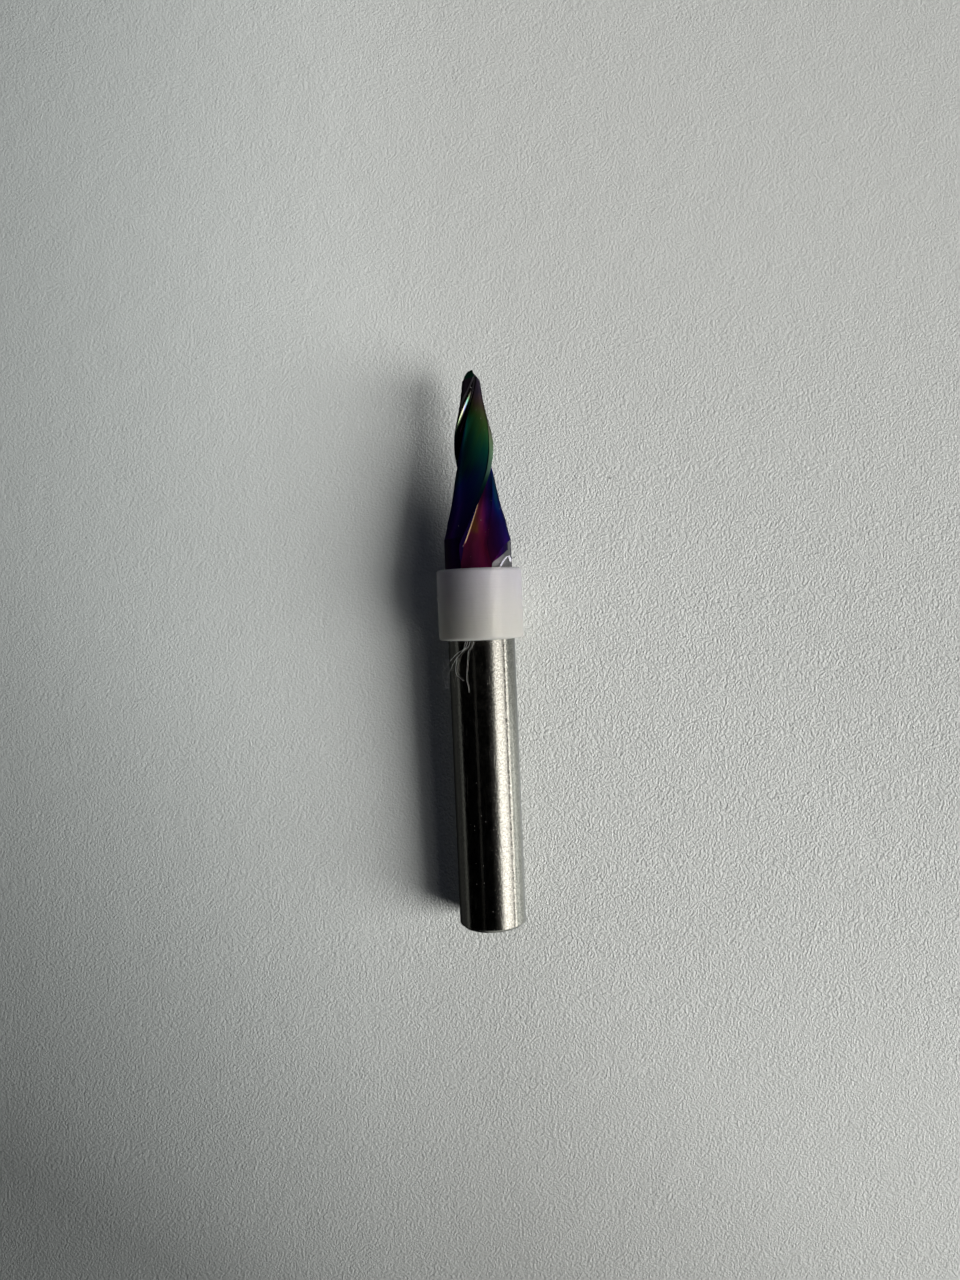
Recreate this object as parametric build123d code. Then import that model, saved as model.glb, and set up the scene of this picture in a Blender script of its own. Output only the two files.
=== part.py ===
"""Tapered ball nose end mill with a plastic depth ring pressed on its shank.

The tool stands on the end of its shank, tip up, with its axis on Z and the origin at the
middle of the shank's end face. It is ground from one carbide rod: a plain shank, a cone that
tapers to a ball, two helical flutes that run out into the shank, and a relieved and gashed
ball end. It cuts turning right-handed, and its helix is right-handed too.
"""

from build123d import *

import math
import os

# Driving dimensions of the rod, in millimetres
shank_diameter = 6.0
overall_length = 50.0
shank_chamfer = 0.3
ball_radius = 1.0
taper_length = 15.0

# Teeth: angles in degrees. The edge bearing is that of the first tooth where the cone meets
# the shank, from the front (-Y) towards +X.
tooth_count = 2
helix_angle = 26.5
edge_bearing = -25.5
rake_angle = 6.0
land_angle = 11.0

# Tooth section as shares of the local radius, at the tip and at the foot of the cone. The
# flute angle is that from the edge to the heel of the next tooth.
core_share = 0.52
heel_share_tip = 0.68
heel_share_foot = 0.71
flute_angle_tip = 32.0
flute_angle_foot = 51.0
relief_tip = 0.25
relief_foot = 0.13

# The edge is ground this share of the radius proud of the cone, which then trims it to a
# fine round margin
edge_margin = 0.003

# Run-out, from the foot of the cone: the floor starts to climb above it, along the arc of
# the grinding wheel, and the helix runs straight from a little below it. The ground
# surfaces ease from one line into the next over this far on each side of the change.
climb_lead = 0.8
helix_run_on = 0.6
ease = 0.4
wheel_radius = 8.6

# Ball end: the reliefs are balls moved off the axis, which flare out below the ball. Each
# gash opens a flute to the middle and leaves a thin web.
ball_relief = 0.30
flare_angle = 20.0
gash_depth = 0.40
gash_angle = 38.0
gash_overlap = 0.22
gash_turn = 3.0
web_thickness = 0.08

# Depth ring, set back from the foot of the cone. The plastic grips a groove in its seat on
# the shank that is only a hair deep.
ring_wall = 0.82
ring_length = 6.3
ring_setback = 2.7
ring_rim_chamfer = 0.2
ring_lead_in = 0.15
grip_length = 1.0
grip_depth = 0.01

# Where the section's curves pass: shares of the radius, of the flute angle and of the back,
# and how far along each curve they lie. The same places in all sections keep the lofted
# surfaces smooth.
rake_share = 0.8
gully_share = 0.5
back_shares = (0.68, 0.36)
flute_stations = (0.0, 0.24, 0.66, 1.0)
back_stations = (0.0, 0.35, 0.70, 1.0)

# Sections follow each other at this turn of the edge, or at this rise where it turns slowly,
# until the floor is this far out of the shank
section_turn = 12.0
section_rise = 0.7
run_out_spare = 0.02
clear = 1.0

# Values that follow
shank_radius = shank_diameter / 2
blank_top = overall_length + clear
ball_height = overall_length - ball_radius
cone_foot = overall_length - taper_length
run_out_top = cone_foot + climb_lead
helix_end = cone_foot - helix_run_on
ring_top = cone_foot - ring_setback
ring_bottom = ring_top - ring_length
grip_top = ring_bottom + grip_length
grip_middle = ring_bottom + grip_length / 2
pitch = 360 / tooth_count

# The cone passes through the rim of the shank and touches the ball
foot_distance = math.hypot(shank_radius, ball_height - cone_foot)
foot_direction = math.atan2(ball_height - cone_foot, shank_radius)
half_angle = math.acos(ball_radius / foot_distance) - foot_direction
cone_slope = math.tan(half_angle)
ball_seam = ball_height + ball_radius * math.sin(half_angle)
helix_slope = math.tan(math.radians(helix_angle))


def cone_radius(height):
    """Radius of the cone at a height, also where its line runs on past the foot or tip."""
    return shank_radius - (height - cone_foot) * cone_slope


def up_to(limit, height):
    """Height held at an upper limit, which it meets along a parabola."""
    over = min(max(height - limit + ease, 0), 2 * ease)
    return min(height, limit + ease) - over**2 / (4 * ease)


def down_to(limit, height):
    """Height held at a lower limit, which it meets along a parabola."""
    return -up_to(-limit, -height)


def edge_direction(height):
    """Angle of the first tooth's edge about +Z from +X, in degrees.

    The helix angle is constant, so the edge turns faster where the cone is thinner. It runs
    straight along the ball and along the last of the run-out.
    """
    held = down_to(helix_end, up_to(ball_seam, height))
    turn = helix_slope / cone_slope * math.log(shank_radius / cone_radius(held))
    return edge_bearing - 90 + math.degrees(turn)


def run_out_climb(height):
    """How far the grinding wheel has climbed out of the flute."""
    travel = max(run_out_top - height, 0)
    return wheel_radius - math.sqrt(wheel_radius**2 - travel**2)


def flute_floor(height):
    """Distance of the flute's floor from the axis: along the cone, then the shank, and out."""
    return core_share * cone_radius(down_to(cone_foot, height)) + run_out_climb(height)


def between(tip_value, foot_value, height):
    """Value that changes evenly from the ball to the foot of the cone."""
    share = (ball_seam - height) / (ball_seam - cone_foot)
    return tip_value + (foot_value - tip_value) * share


def relieved(relief, behind):
    """Radius share of an eccentrically relieved back, at an angle behind its edge."""
    drop = relief * math.sin(math.radians(behind))
    return math.sqrt(1 + drop**2) - drop


def tooth_section(height):
    """Closed outline of all teeth at one height: rake and gully, back, and land."""
    radius = flute_floor(height) / core_share
    relief = between(relief_tip, relief_foot, height)
    heel_share = between(heel_share_tip, heel_share_foot, height)
    flute_angle = between(flute_angle_tip, flute_angle_foot, height)
    hook_offset = (1 - rake_share) * math.tan(math.radians(rake_angle))
    hook = math.degrees(math.atan(hook_offset / rake_share))

    def at(share, direction):
        """Point of the section at a radius share and a direction."""
        turn = math.radians(direction)
        return Vector(
            radius * share * math.cos(turn), radius * share * math.sin(turn), height
        )

    edges = []
    for tooth in range(tooth_count):
        ahead = edge_direction(height) + tooth * pitch
        next_edge = ahead + pitch
        edge = at(1 + edge_margin, ahead)
        rake = at(rake_share, ahead - hook)
        gully = at(core_share, ahead + gully_share * flute_angle)
        heel = at(heel_share, ahead + flute_angle)
        backs = []
        for share in back_shares:
            behind = share * (pitch - flute_angle)
            backs.append(at(relieved(relief, behind), next_edge - behind))
        land = at(relieved(relief, land_angle), next_edge - land_angle)
        edges.append(Edge.make_spline([edge, rake, gully, heel], parameters=flute_stations))
        edges.append(Edge.make_spline([heel, *backs, land], parameters=back_stations))
        edges.append(Edge.make_line(land, at(1 + edge_margin, next_edge)))
    return Wire(edges)


def section_heights():
    """Heights of the sections, from above the tip to where the flutes have run out."""
    heights = [blank_top]
    while flute_floor(heights[-1]) < shank_radius + run_out_spare:
        turn_rate = math.degrees(helix_slope / cone_radius(heights[-1]))
        heights.append(heights[-1] - min(section_rise, section_turn / turn_rate))
    return heights


def seat_radius(height):
    """Radius of the ring's seat: the shank's, but for the groove that the ring grips."""
    from_middle = abs(height - grip_middle) / (grip_length / 2)
    return shank_radius - grip_depth * max(1 - from_middle, 0)


def make_blank():
    """Ground rod before fluting: chamfered shank and cone, left long at the tip."""
    outline = Polyline(
        (0, 0),
        (shank_radius - shank_chamfer, 0),
        (shank_radius, shank_chamfer),
        (shank_radius, ring_bottom),
        (seat_radius(grip_middle), grip_middle),
        (shank_radius, grip_top),
        (shank_radius, cone_foot),
        (cone_radius(blank_top), blank_top),
        (0, blank_top),
        close=True,
    )
    return revolve(Plane.XZ * make_face(outline), Axis.Z)


def make_flute_space():
    """All that the flutes and the reliefs behind the edges take off the rod."""
    heights = section_heights()
    teeth = Solid.make_loft([tooth_section(height) for height in heights])
    sleeve = Cylinder(
        shank_diameter,
        blank_top - heights[-1],
        align=(Align.CENTER, Align.CENTER, Align.MAX),
    )
    return Pos(0, 0, blank_top) * sleeve - teeth


def make_relief_ball():
    """Body that a ball relief leaves: a ball with a skirt that flares out to the shank."""
    radius = math.hypot(ball_radius, ball_relief)
    flare = math.radians(flare_angle)
    middle = (math.pi / 2 + flare) / 2
    crown = (0, ball_height + radius)
    seam = (radius * math.cos(flare), ball_height + radius * math.sin(flare))
    skirt = (shank_diameter, seam[1] - (shank_diameter - seam[0]) / math.tan(flare))
    ball = ThreePointArc(
        seam,
        (radius * math.cos(middle), ball_height + radius * math.sin(middle)),
        crown,
    )
    sides = Polyline(crown, (0, -clear), (shank_diameter, -clear), skirt, seam)
    return revolve(Plane.XZ * make_face(ball + sides), Axis.Z)


def make_gash():
    """Notch ahead of an edge that points to +X: a web face and a floor that falls away."""
    width = shank_diameter
    face = web_thickness / 2
    floor = overall_length - gash_depth
    fall = width * math.tan(math.radians(gash_angle))
    outline = Polyline(
        (face, floor),
        (face, blank_top),
        (face + width, blank_top),
        (face + width, floor - fall),
        close=True,
    )
    notch = extrude(Plane.YZ * make_face(outline), width)
    return Pos(-gash_overlap, 0, 0) * notch


def make_end_mill():
    """Cutter ground from one rod: fluted, then relieved and gashed at the ball."""
    cutter = make_blank() - make_flute_space()
    for tooth in range(tooth_count):
        turn = edge_direction(overall_length) + tooth * pitch
        cutter &= Rot(0, 0, turn) * Pos(0, ball_relief, 0) * make_relief_ball()
    for tooth in range(tooth_count):
        turn = edge_direction(overall_length) + tooth * pitch - gash_turn
        cutter -= Rot(0, 0, turn) * make_gash()
    return cutter


def make_depth_ring():
    """Moulded ring that fills its seat, with broken rims and a lead-in at both ends."""
    outer = shank_radius + ring_wall
    lead_in_radius = shank_radius + ring_lead_in
    bore_bottom = ring_bottom + ring_lead_in
    bore_top = ring_top - ring_lead_in
    wall = Polyline(
        (lead_in_radius, ring_bottom),
        (outer - ring_rim_chamfer, ring_bottom),
        (outer, ring_bottom + ring_rim_chamfer),
        (outer, ring_top - ring_rim_chamfer),
        (outer - ring_rim_chamfer, ring_top),
        (lead_in_radius, ring_top),
        (shank_radius, bore_top),
        (shank_radius, grip_top),
        (seat_radius(grip_middle), grip_middle),
        (seat_radius(bore_bottom), bore_bottom),
        close=True,
    )
    return revolve(Plane.XZ * make_face(wall), Axis.Z)


os.makedirs("parts", exist_ok=True)
export_step(make_end_mill(), "parts/end_mill.step")
export_step(make_depth_ring(), "parts/depth_ring.step")
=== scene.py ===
"""Scene of a tapered ball nose end mill that stands on its shank, with a plastic depth ring.

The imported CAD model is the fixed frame. The cutter is cut again from the same law with finer
facets, because its ground faces are glossy, and the ring gets its rounded rims. The shavings
that the ring's bore shed, and dust, are added. Lengths are in millimetres until a piece is
finished, and Blender's metres from there on.
"""

import logging
import math
from collections.abc import Iterator, Sequence
from contextlib import contextmanager
from dataclasses import dataclass
from enum import Enum

import bpy
import numpy as np
from mathutils import Matrix, Vector

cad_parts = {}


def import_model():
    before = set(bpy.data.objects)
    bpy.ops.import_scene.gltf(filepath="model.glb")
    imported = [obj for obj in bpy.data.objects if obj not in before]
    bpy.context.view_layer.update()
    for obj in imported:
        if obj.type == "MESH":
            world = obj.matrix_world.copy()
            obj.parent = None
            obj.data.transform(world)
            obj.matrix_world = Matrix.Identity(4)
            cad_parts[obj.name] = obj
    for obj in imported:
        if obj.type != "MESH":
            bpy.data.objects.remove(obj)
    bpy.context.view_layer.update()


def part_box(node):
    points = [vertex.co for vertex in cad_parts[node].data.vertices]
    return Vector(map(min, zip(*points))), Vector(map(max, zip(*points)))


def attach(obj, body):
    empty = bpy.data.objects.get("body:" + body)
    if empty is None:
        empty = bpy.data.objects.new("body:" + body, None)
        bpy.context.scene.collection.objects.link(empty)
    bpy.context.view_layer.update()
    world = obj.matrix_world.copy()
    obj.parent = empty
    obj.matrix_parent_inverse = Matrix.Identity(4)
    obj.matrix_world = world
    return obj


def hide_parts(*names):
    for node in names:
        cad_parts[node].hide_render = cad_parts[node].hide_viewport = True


LOG = logging.getLogger("end_mill_scene")
MM = 0.001
MERGE_DISTANCE = 1e-5
BLACK = (0.0, 0.0, 0.0)
DUST_COLOUR = (0.42, 0.40, 0.38)

Point = tuple[float, float, float]
Colour = tuple[float, float, float]
Pair = tuple[float, float]
Profile = Sequence[Pair]
Piece = bpy.types.Object
Material = bpy.types.Material
Node = bpy.types.Node
NodeTree = bpy.types.NodeTree
Outputs = bpy.types.bpy_prop_collection
Socket = bpy.types.NodeSocket
Feed = Socket | float | tuple[float, ...]
Feeds = dict[str | int, Feed]


class Surface(Enum):
    """Surfaces of the cutter, in the order of its working material slots."""

    SHANK = 0
    CONE = 1
    FLUTE = 2
    BACK = 3
    LAND = 4
    CROWN = 5
    GASH = 6


class Cut(Enum):
    """How one body changes another."""

    KEEP_COMMON = "INTERSECT"
    TAKE_AWAY = "DIFFERENCE"


def activate(piece: Piece) -> None:
    """Make one object the only selected one, and the active one.

    Args:
        piece: The object.
    """
    if bpy.context.object and bpy.context.object.mode != "OBJECT":
        bpy.ops.object.mode_set(mode="OBJECT")
    bpy.ops.object.select_all(action="DESELECT")
    piece.select_set(True)
    bpy.context.view_layer.objects.active = piece


@contextmanager
def editing(piece: Piece) -> Iterator[None]:
    """Edit the mesh of a piece, from all of it selected, and go back to object mode.

    Args:
        piece: The piece.

    Returns:
        A context in which the mesh is being edited.
    """
    activate(piece)
    bpy.ops.object.mode_set(mode="EDIT")
    bpy.ops.mesh.select_all(action="SELECT")
    yield
    bpy.ops.object.mode_set(mode="OBJECT")


def add_plane(name: str, size: float) -> Piece:
    """Add a level square in the middle of the scene, to be shaped further.

    Args:
        name: Its name.
        size: Length of its sides.

    Returns:
        The square.
    """
    bpy.ops.object.select_all(action="DESELECT")
    bpy.ops.mesh.primitive_plane_add(size=size, location=(0, 0, 0))
    plane = bpy.context.object
    plane.name = name
    return plane


def apply_modifiers(piece: Piece) -> None:
    """Apply all modifiers of a piece, from the first to the last.

    Args:
        piece: The piece.
    """
    activate(piece)
    for modifier in list(piece.modifiers):
        bpy.ops.object.modifier_apply(modifier=modifier.name)


def coordinates(piece: Piece) -> np.ndarray:
    """Vertex coordinates of a mesh object.

    Args:
        piece: The mesh object.

    Returns:
        An array with one row of three numbers for each vertex.
    """
    values = np.zeros(len(piece.data.vertices) * 3)
    piece.data.vertices.foreach_get("co", values)
    return values.reshape(-1, 3)


def draw_line(name: str, points: Sequence[Point]) -> Piece:
    """Draw a chain of edges by extruding one vertex from point to point.

    Args:
        name: Name of the new object.
        points: Corners of the chain, in order.

    Returns:
        The object that holds the chain.
    """
    line = add_plane(name, 1)
    with editing(line):
        bpy.ops.mesh.select_mode(type="VERT")
        bpy.ops.mesh.merge(type="CENTER")
        bpy.ops.transform.translate(value=points[0])
        for start, end in zip(points, points[1:]):
            step = Vector(end) - Vector(start)
            bpy.ops.mesh.extrude_region_move(TRANSFORM_OT_translate={"value": step})
    return line


def face_outwards() -> None:
    """Turn all faces of the closed body that is being edited outwards."""
    bpy.ops.mesh.select_all(action="SELECT")
    bpy.ops.mesh.normals_make_consistent(inside=False)


def turn_on_lathe(name: str, outline: Profile, steps: int) -> Piece:
    """Turn an outline into a closed body round the Z axis.

    Args:
        name: Name of the new object.
        outline: Pairs of radius and height.
        steps: Facets round the axis.

    Returns:
        The turned body, with its faces pointing outwards.
    """
    body = draw_line(name, [(radius, 0.0, height) for radius, height in outline])
    with editing(body):
        bpy.ops.mesh.spin(steps=steps, angle=math.tau, center=(0, 0, 0), axis=(0, 0, 1))
        bpy.ops.mesh.select_all(action="SELECT")
        bpy.ops.mesh.remove_doubles(threshold=MERGE_DISTANCE)
        face_outwards()
    return body


def cut(body: Piece, tool: Piece, how: Cut) -> None:
    """Cut one body with another, which is used up.

    Args:
        body: The body that is kept.
        tool: The body that cuts it.
        how: What of the first body stays.
    """
    modifier = body.modifiers.new("cut", "BOOLEAN")
    modifier.operation = how.value
    modifier.solver = "EXACT"
    modifier.object = tool
    apply_modifiers(body)
    bpy.data.objects.remove(tool, do_unlink=True)


def finish_in_metres(piece: Piece) -> None:
    """Shrink a finished piece from millimetres to metres, with its place in its mesh.

    Args:
        piece: The piece.
    """
    activate(piece)
    piece.scale = (MM, MM, MM)
    bpy.ops.object.transform_apply(location=True, rotation=True, scale=True)


@dataclass(frozen=True)
class CutterLaw:
    """Law that the ground cutter follows, in millimetres and degrees.

    The shank, the length and the ring's place come from the frame. The rest are the driving
    dimensions of the CAD source.
    """

    shank_radius: float
    overall_length: float
    ring_top: float
    shank_chamfer: float = 0.3
    ball_radius: float = 1.0
    taper_length: float = 15.0
    tooth_count: int = 2
    helix_angle: float = 26.5
    edge_bearing: float = -25.5
    rake_angle: float = 6.0
    land_angle: float = 11.0
    core_share: float = 0.52
    heel_share: Pair = (0.68, 0.71)
    flute_angle: Pair = (32.0, 51.0)
    relief: Pair = (0.25, 0.13)
    relief_run_out: float = 3.5
    relief_left: float = 0.1
    edge_margin: float = 0.003
    climb_lead: float = 0.8
    helix_run_on: float = 0.6
    ease: float = 0.4
    wheel_radius: float = 8.6
    ball_relief: float = 0.30
    flare_angle: float = 20.0
    gash_depth: float = 0.40
    gash_angle: float = 38.0
    gash_overlap: float = 0.22
    gash_turn: float = 3.0
    web_thickness: float = 0.08
    rake_share: float = 0.8
    gully_share: float = 0.5
    back_shares: Pair = (0.68, 0.36)
    flute_stations: tuple[float, ...] = (0.0, 0.24, 0.66, 1.0)
    back_stations: tuple[float, ...] = (0.0, 0.35, 0.70, 1.0)

    @property
    def pitch(self) -> float:
        """Angle from one tooth to the next."""
        return 360 / self.tooth_count

    @property
    def ball_height(self) -> float:
        """Height of the ball's middle."""
        return self.overall_length - self.ball_radius

    @property
    def cone_foot(self) -> float:
        """Height at which the cone meets the shank."""
        return self.overall_length - self.taper_length

    @property
    def half_angle(self) -> float:
        """Angle of the cone's side to its axis, in radians.

        Returns:
            The angle.
        """
        rise = self.ball_height - self.cone_foot
        foot_distance = math.hypot(self.shank_radius, rise)
        return math.acos(self.ball_radius / foot_distance) - math.atan2(rise, self.shank_radius)

    @property
    def cone_slope(self) -> float:
        """How much the cone's radius shrinks for each millimetre up."""
        return math.tan(self.half_angle)

    @property
    def ball_seam(self) -> float:
        """Height at which the cone touches the ball."""
        return self.ball_height + self.ball_radius * math.sin(self.half_angle)

    @property
    def helix_rate(self) -> float:
        """Turn of the edge for each unit of the logarithm of the radius, in radians."""
        return math.tan(math.radians(self.helix_angle)) / self.cone_slope

    @property
    def helix_end(self) -> float:
        """Height under which the edge runs straight down."""
        return self.cone_foot - self.helix_run_on

    def cone_radius(self, height: float) -> float:
        """Radius of the cone at a height."""
        return self.shank_radius - (height - self.cone_foot) * self.cone_slope

    def up_to(self, limit: float, height: float) -> float:
        """Height held at an upper limit, which it meets along a parabola."""
        over = min(max(height - limit + self.ease, 0), 2 * self.ease)
        return min(height, limit + self.ease) - over**2 / (4 * self.ease)

    def down_to(self, limit: float, height: float) -> float:
        """Height held at a lower limit, which it meets along a parabola."""
        return -self.up_to(-limit, -height)

    def edge_direction(self, height: float) -> float:
        """Angle of the first tooth's edge about +Z from +X, in degrees.

        Args:
            height: Height on the edge.

        Returns:
            The angle.
        """
        held = self.down_to(self.helix_end, self.up_to(self.ball_seam, height))
        turn = self.helix_rate * math.log(self.shank_radius / self.cone_radius(held))
        return self.edge_bearing - 90 + math.degrees(turn)

    def flute_floor(self, height: float) -> float:
        """Distance of the flute's floor from the axis, which climbs out along the wheel's arc.

        Args:
            height: Height in the flute.

        Returns:
            The distance.
        """
        travel = min(max(self.cone_foot + self.climb_lead - height, 0), self.wheel_radius)
        climb = self.wheel_radius - math.sqrt(self.wheel_radius**2 - travel**2)
        return self.core_share * self.cone_radius(self.down_to(self.cone_foot, height)) + climb

    def relief_kept(self, height: float) -> float:
        """Share of the relief that is left where its grinding runs out over the cone's foot."""
        share = min(max((height - self.cone_foot) / self.relief_run_out, 0), 1)
        return self.relief_left + (1 - self.relief_left) * share**2 * (3 - 2 * share)

    def between(self, ends: Pair, height: float) -> float:
        """Value that changes evenly from the ball to the foot of the cone."""
        share = (self.ball_seam - height) / (self.ball_seam - self.cone_foot)
        return ends[0] + (ends[1] - ends[0]) * share


def curve_through(points: Profile, stations: Sequence[float], count: int) -> np.ndarray:
    """Points on the one cubic that passes through four points at four stations.

    Args:
        points: The four points.
        stations: Where on the cubic they lie, from 0 to 1.
        count: How many points to return, without the last.

    Returns:
        An array with one row for each point.
    """
    at = np.linspace(0, 1, count, endpoint=False)
    result = np.zeros((count, 2))
    for index, point in enumerate(points):
        weight = np.ones(count)
        for other, station in enumerate(stations):
            if other != index:
                weight *= (at - station) / (stations[index] - station)
        result += weight[:, None] * np.array(point)
    return result


class Sheet:
    """Node tree under construction."""

    def __init__(self, tree: NodeTree) -> None:
        """Take up a tree."""
        self.tree = tree

    def add(self, kind: str, feeds: Feeds | None = None, **settings: object) -> Node:
        """Add a node.

        Args:
            kind: Class name of the node, without its common beginning.
            feeds: What goes into its inputs.
            settings: Its other settings.

        Returns:
            The node.
        """
        node = self.tree.nodes.new(f"ShaderNode{kind}")
        for key, value in settings.items():
            setattr(node, key, value)
        self.feed(node, feeds or {})
        return node

    def feed(self, node: Node, feeds: Feeds) -> None:
        """Join sockets to a node's inputs, or set the inputs' values.

        Args:
            node: The node that takes them.
            feeds: Sockets or values, by the name or the place of the input. Fixed colours
                are opaque.
        """
        for key, value in feeds.items():
            socket = node.inputs[key]
            if isinstance(value, Socket):
                self.tree.links.new(value, socket)
            elif socket.type == "RGBA":
                socket.default_value = (*value, 1.0)
            else:
                socket.default_value = value

    def group(self, tree: NodeTree, feeds: Feeds | None = None) -> Outputs:
        """Place a node group, and give its outputs."""
        return self.add("Group", feeds, node_tree=tree).outputs

    def math(self, operation: str, *values: Feed) -> Socket:
        """Result of an operation on numbers."""
        return self.add("Math", dict(enumerate(values)), operation=operation).outputs[0]

    def times(self, first: Feed, second: Feed) -> Socket:
        """Product of two numbers."""
        return self.math("MULTIPLY", first, second)

    def less(self, first: Feed, second: Feed) -> Socket:
        """The first number less the second."""
        return self.math("SUBTRACT", first, second)

    def line(self, value: Feed, slope: Feed, start: Feed) -> Socket:
        """Where a straight line is at a value, from its slope and where it starts."""
        return self.math("MULTIPLY_ADD", value, slope, start)

    def between(self, share: Feed, first: Feed, second: Feed) -> Socket:
        """Number between two others, which is the second one at a share of 1."""
        return self.line(self.less(second, first), share, first)

    def rescale(self, value: Feed, span: Pair, results: Pair = (0.0, 1.0)) -> Socket:
        """Map a range of a value smoothly onto another range.

        Args:
            value: The value.
            span: Start and end of its range.
            results: Results at the start and at the end.

        Returns:
            The mapped value.
        """
        feeds = dict(enumerate((value, *span, *results)))
        return self.add("MapRange", feeds, interpolation_type="SMOOTHSTEP").outputs[0]

    def mix(self, factor: Feed, first: Feed, second: Feed, blend: str = "MIX") -> Socket:
        """Mix two colours.

        Args:
            factor: Share of the second.
            first: The first colour.
            second: The second colour.
            blend: How they are mixed.

        Returns:
            The mixed colour.
        """
        feeds = {0: factor, 6: first, 7: second}
        return self.add("Mix", feeds, data_type="RGBA", blend_type=blend).outputs[2]

    def tint(self, first: Feed, second: Feed) -> Socket:
        """Product of two colours."""
        return self.mix(1.0, first, second, "MULTIPLY")

    def ramp(self, factor: Feed, stops: Sequence[tuple[float, Colour]]) -> Socket:
        """Turn a value into a colour.

        Args:
            factor: The value from 0 to 1.
            stops: Pairs of place and colour, in order.

        Returns:
            The colour.
        """
        node = self.add("ValToRGB", {0: factor})
        node.color_ramp.interpolation = "LINEAR"
        elements = node.color_ramp.elements
        for end in (0, -1):
            elements[end].position = stops[end][0]
            elements[end].color = (*stops[end][1], 1.0)
        for place, colour in stops[1:-1]:
            elements.new(place).color = (*colour, 1.0)
        return node.outputs[0]

    def profile(self, value: Feed, points: Profile) -> Socket:
        """Follow a curve that is given at some places, in straight runs.

        Args:
            value: Where on the curve.
            points: Pairs of place and height of the curve, in order.

        Returns:
            The height of the curve.
        """
        start, end = points[0][0], points[-1][0]
        least = min(height for _, height in points)
        rise = max(height for _, height in points) - least
        share = self.math("DIVIDE", self.less(value, start), end - start)
        stops = [
            ((place - start) / (end - start), ((height - least) / rise,) * 3)
            for place, height in points
        ]
        return self.line(self.ramp(share, stops), rise, least)

    def vector(self, x: Feed, y: Feed, z: Feed) -> Socket:
        """Put three numbers together."""
        return self.add("CombineXYZ", {0: x, 1: y, 2: z}).outputs[0]

    def axes(self, vector: Feed) -> Outputs:
        """Take a vector or a colour apart into its three numbers."""
        return self.add("SeparateXYZ", {0: vector}).outputs

    def grey(self, value: Feed) -> Socket:
        """Grey of a given brightness."""
        return self.vector(value, value, value)

    def millimetres(self) -> Socket:
        """Object coordinates in millimetres."""
        feeds = {0: self.add("TexCoord").outputs["Object"], 1: (1 / MM,) * 3}
        return self.add("VectorMath", feeds, operation="MULTIPLY").outputs[0]

    def noise(self, vector: Feed, scale: float, detail: float, distortion: float = 0.0) -> Socket:
        """Smooth random value from 0 to 1.

        Args:
            vector: Where it is read.
            scale: Number of waves for each unit.
            detail: Number of finer layers.
            distortion: How far its waves are bent.

        Returns:
            The value.
        """
        feeds = {"Vector": vector, "Scale": scale, "Detail": detail, "Distortion": distortion}
        return self.add("TexNoise", feeds).outputs["Fac"]

    def strew(self, vector: Feed, scale: Feed, rim: Pair, share: Feed) -> Socket:
        """Strew round specks, at most one in each cell.

        Args:
            vector: Where they are read.
            scale: Number of cells for each unit.
            rim: Distances from a speck's middle at which it has ended and at which it is full.
            share: Share of the cells that have a speck.

        Returns:
            1 on a speck and 0 between them.
        """
        cells = self.add("TexVoronoi", {"Vector": vector, "Scale": scale}).outputs
        drawn = self.math("LESS_THAN", self.axes(cells["Color"])[0], share)
        return self.times(self.rescale(cells["Distance"], rim), drawn)

    def bump(self, shader: Node, height: Feed, strength: float, depth: float) -> None:
        """Let the surface of a shader rise and fall.

        Args:
            shader: The shader.
            height: How high the surface is, as a share of the depth.
            strength: How much of the relief shows.
            depth: Depth of the relief in millimetres.
        """
        feeds = {"Height": height, "Strength": strength, "Distance": depth * MM}
        self.feed(shader, {"Normal": self.add("Bump", feeds).outputs[0]})


def new_group(
    name: str, inputs: dict[str, float], outputs: dict[str, str]
) -> tuple[Sheet, Outputs, Node]:
    """Start a node group.

    Args:
        name: Its name.
        inputs: Its number inputs, with their usual values.
        outputs: Its outputs, with their kinds.

    Returns:
        The group's sheet, what is put into the group, and the node for what it puts out.
    """
    tree = bpy.data.node_groups.new(name, "ShaderNodeTree")
    for key, value in inputs.items():
        socket = tree.interface.new_socket(key, in_out="INPUT", socket_type="NodeSocketFloat")
        socket.default_value = value
    for key, kind in outputs.items():
        tree.interface.new_socket(key, in_out="OUTPUT", socket_type=f"NodeSocket{kind}")
    given = tree.nodes.new("NodeGroupInput").outputs
    return Sheet(tree), given, tree.nodes.new("NodeGroupOutput")


def new_material(name: str) -> tuple[Material, Sheet, Node]:
    """Start a material.

    Args:
        name: Its name.

    Returns:
        The material, its sheet and its Principled shader.
    """
    material = bpy.data.materials.new(name)
    material.use_nodes = True
    nodes = material.node_tree.nodes
    return material, Sheet(material.node_tree), nodes["Principled BSDF"]


@dataclass(frozen=True)
class CarbideEffects:
    """Effects that the finishes of the cutter share."""

    winding: NodeTree
    growth: NodeTree
    film: NodeTree
    grinding: NodeTree
    dust: NodeTree


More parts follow.
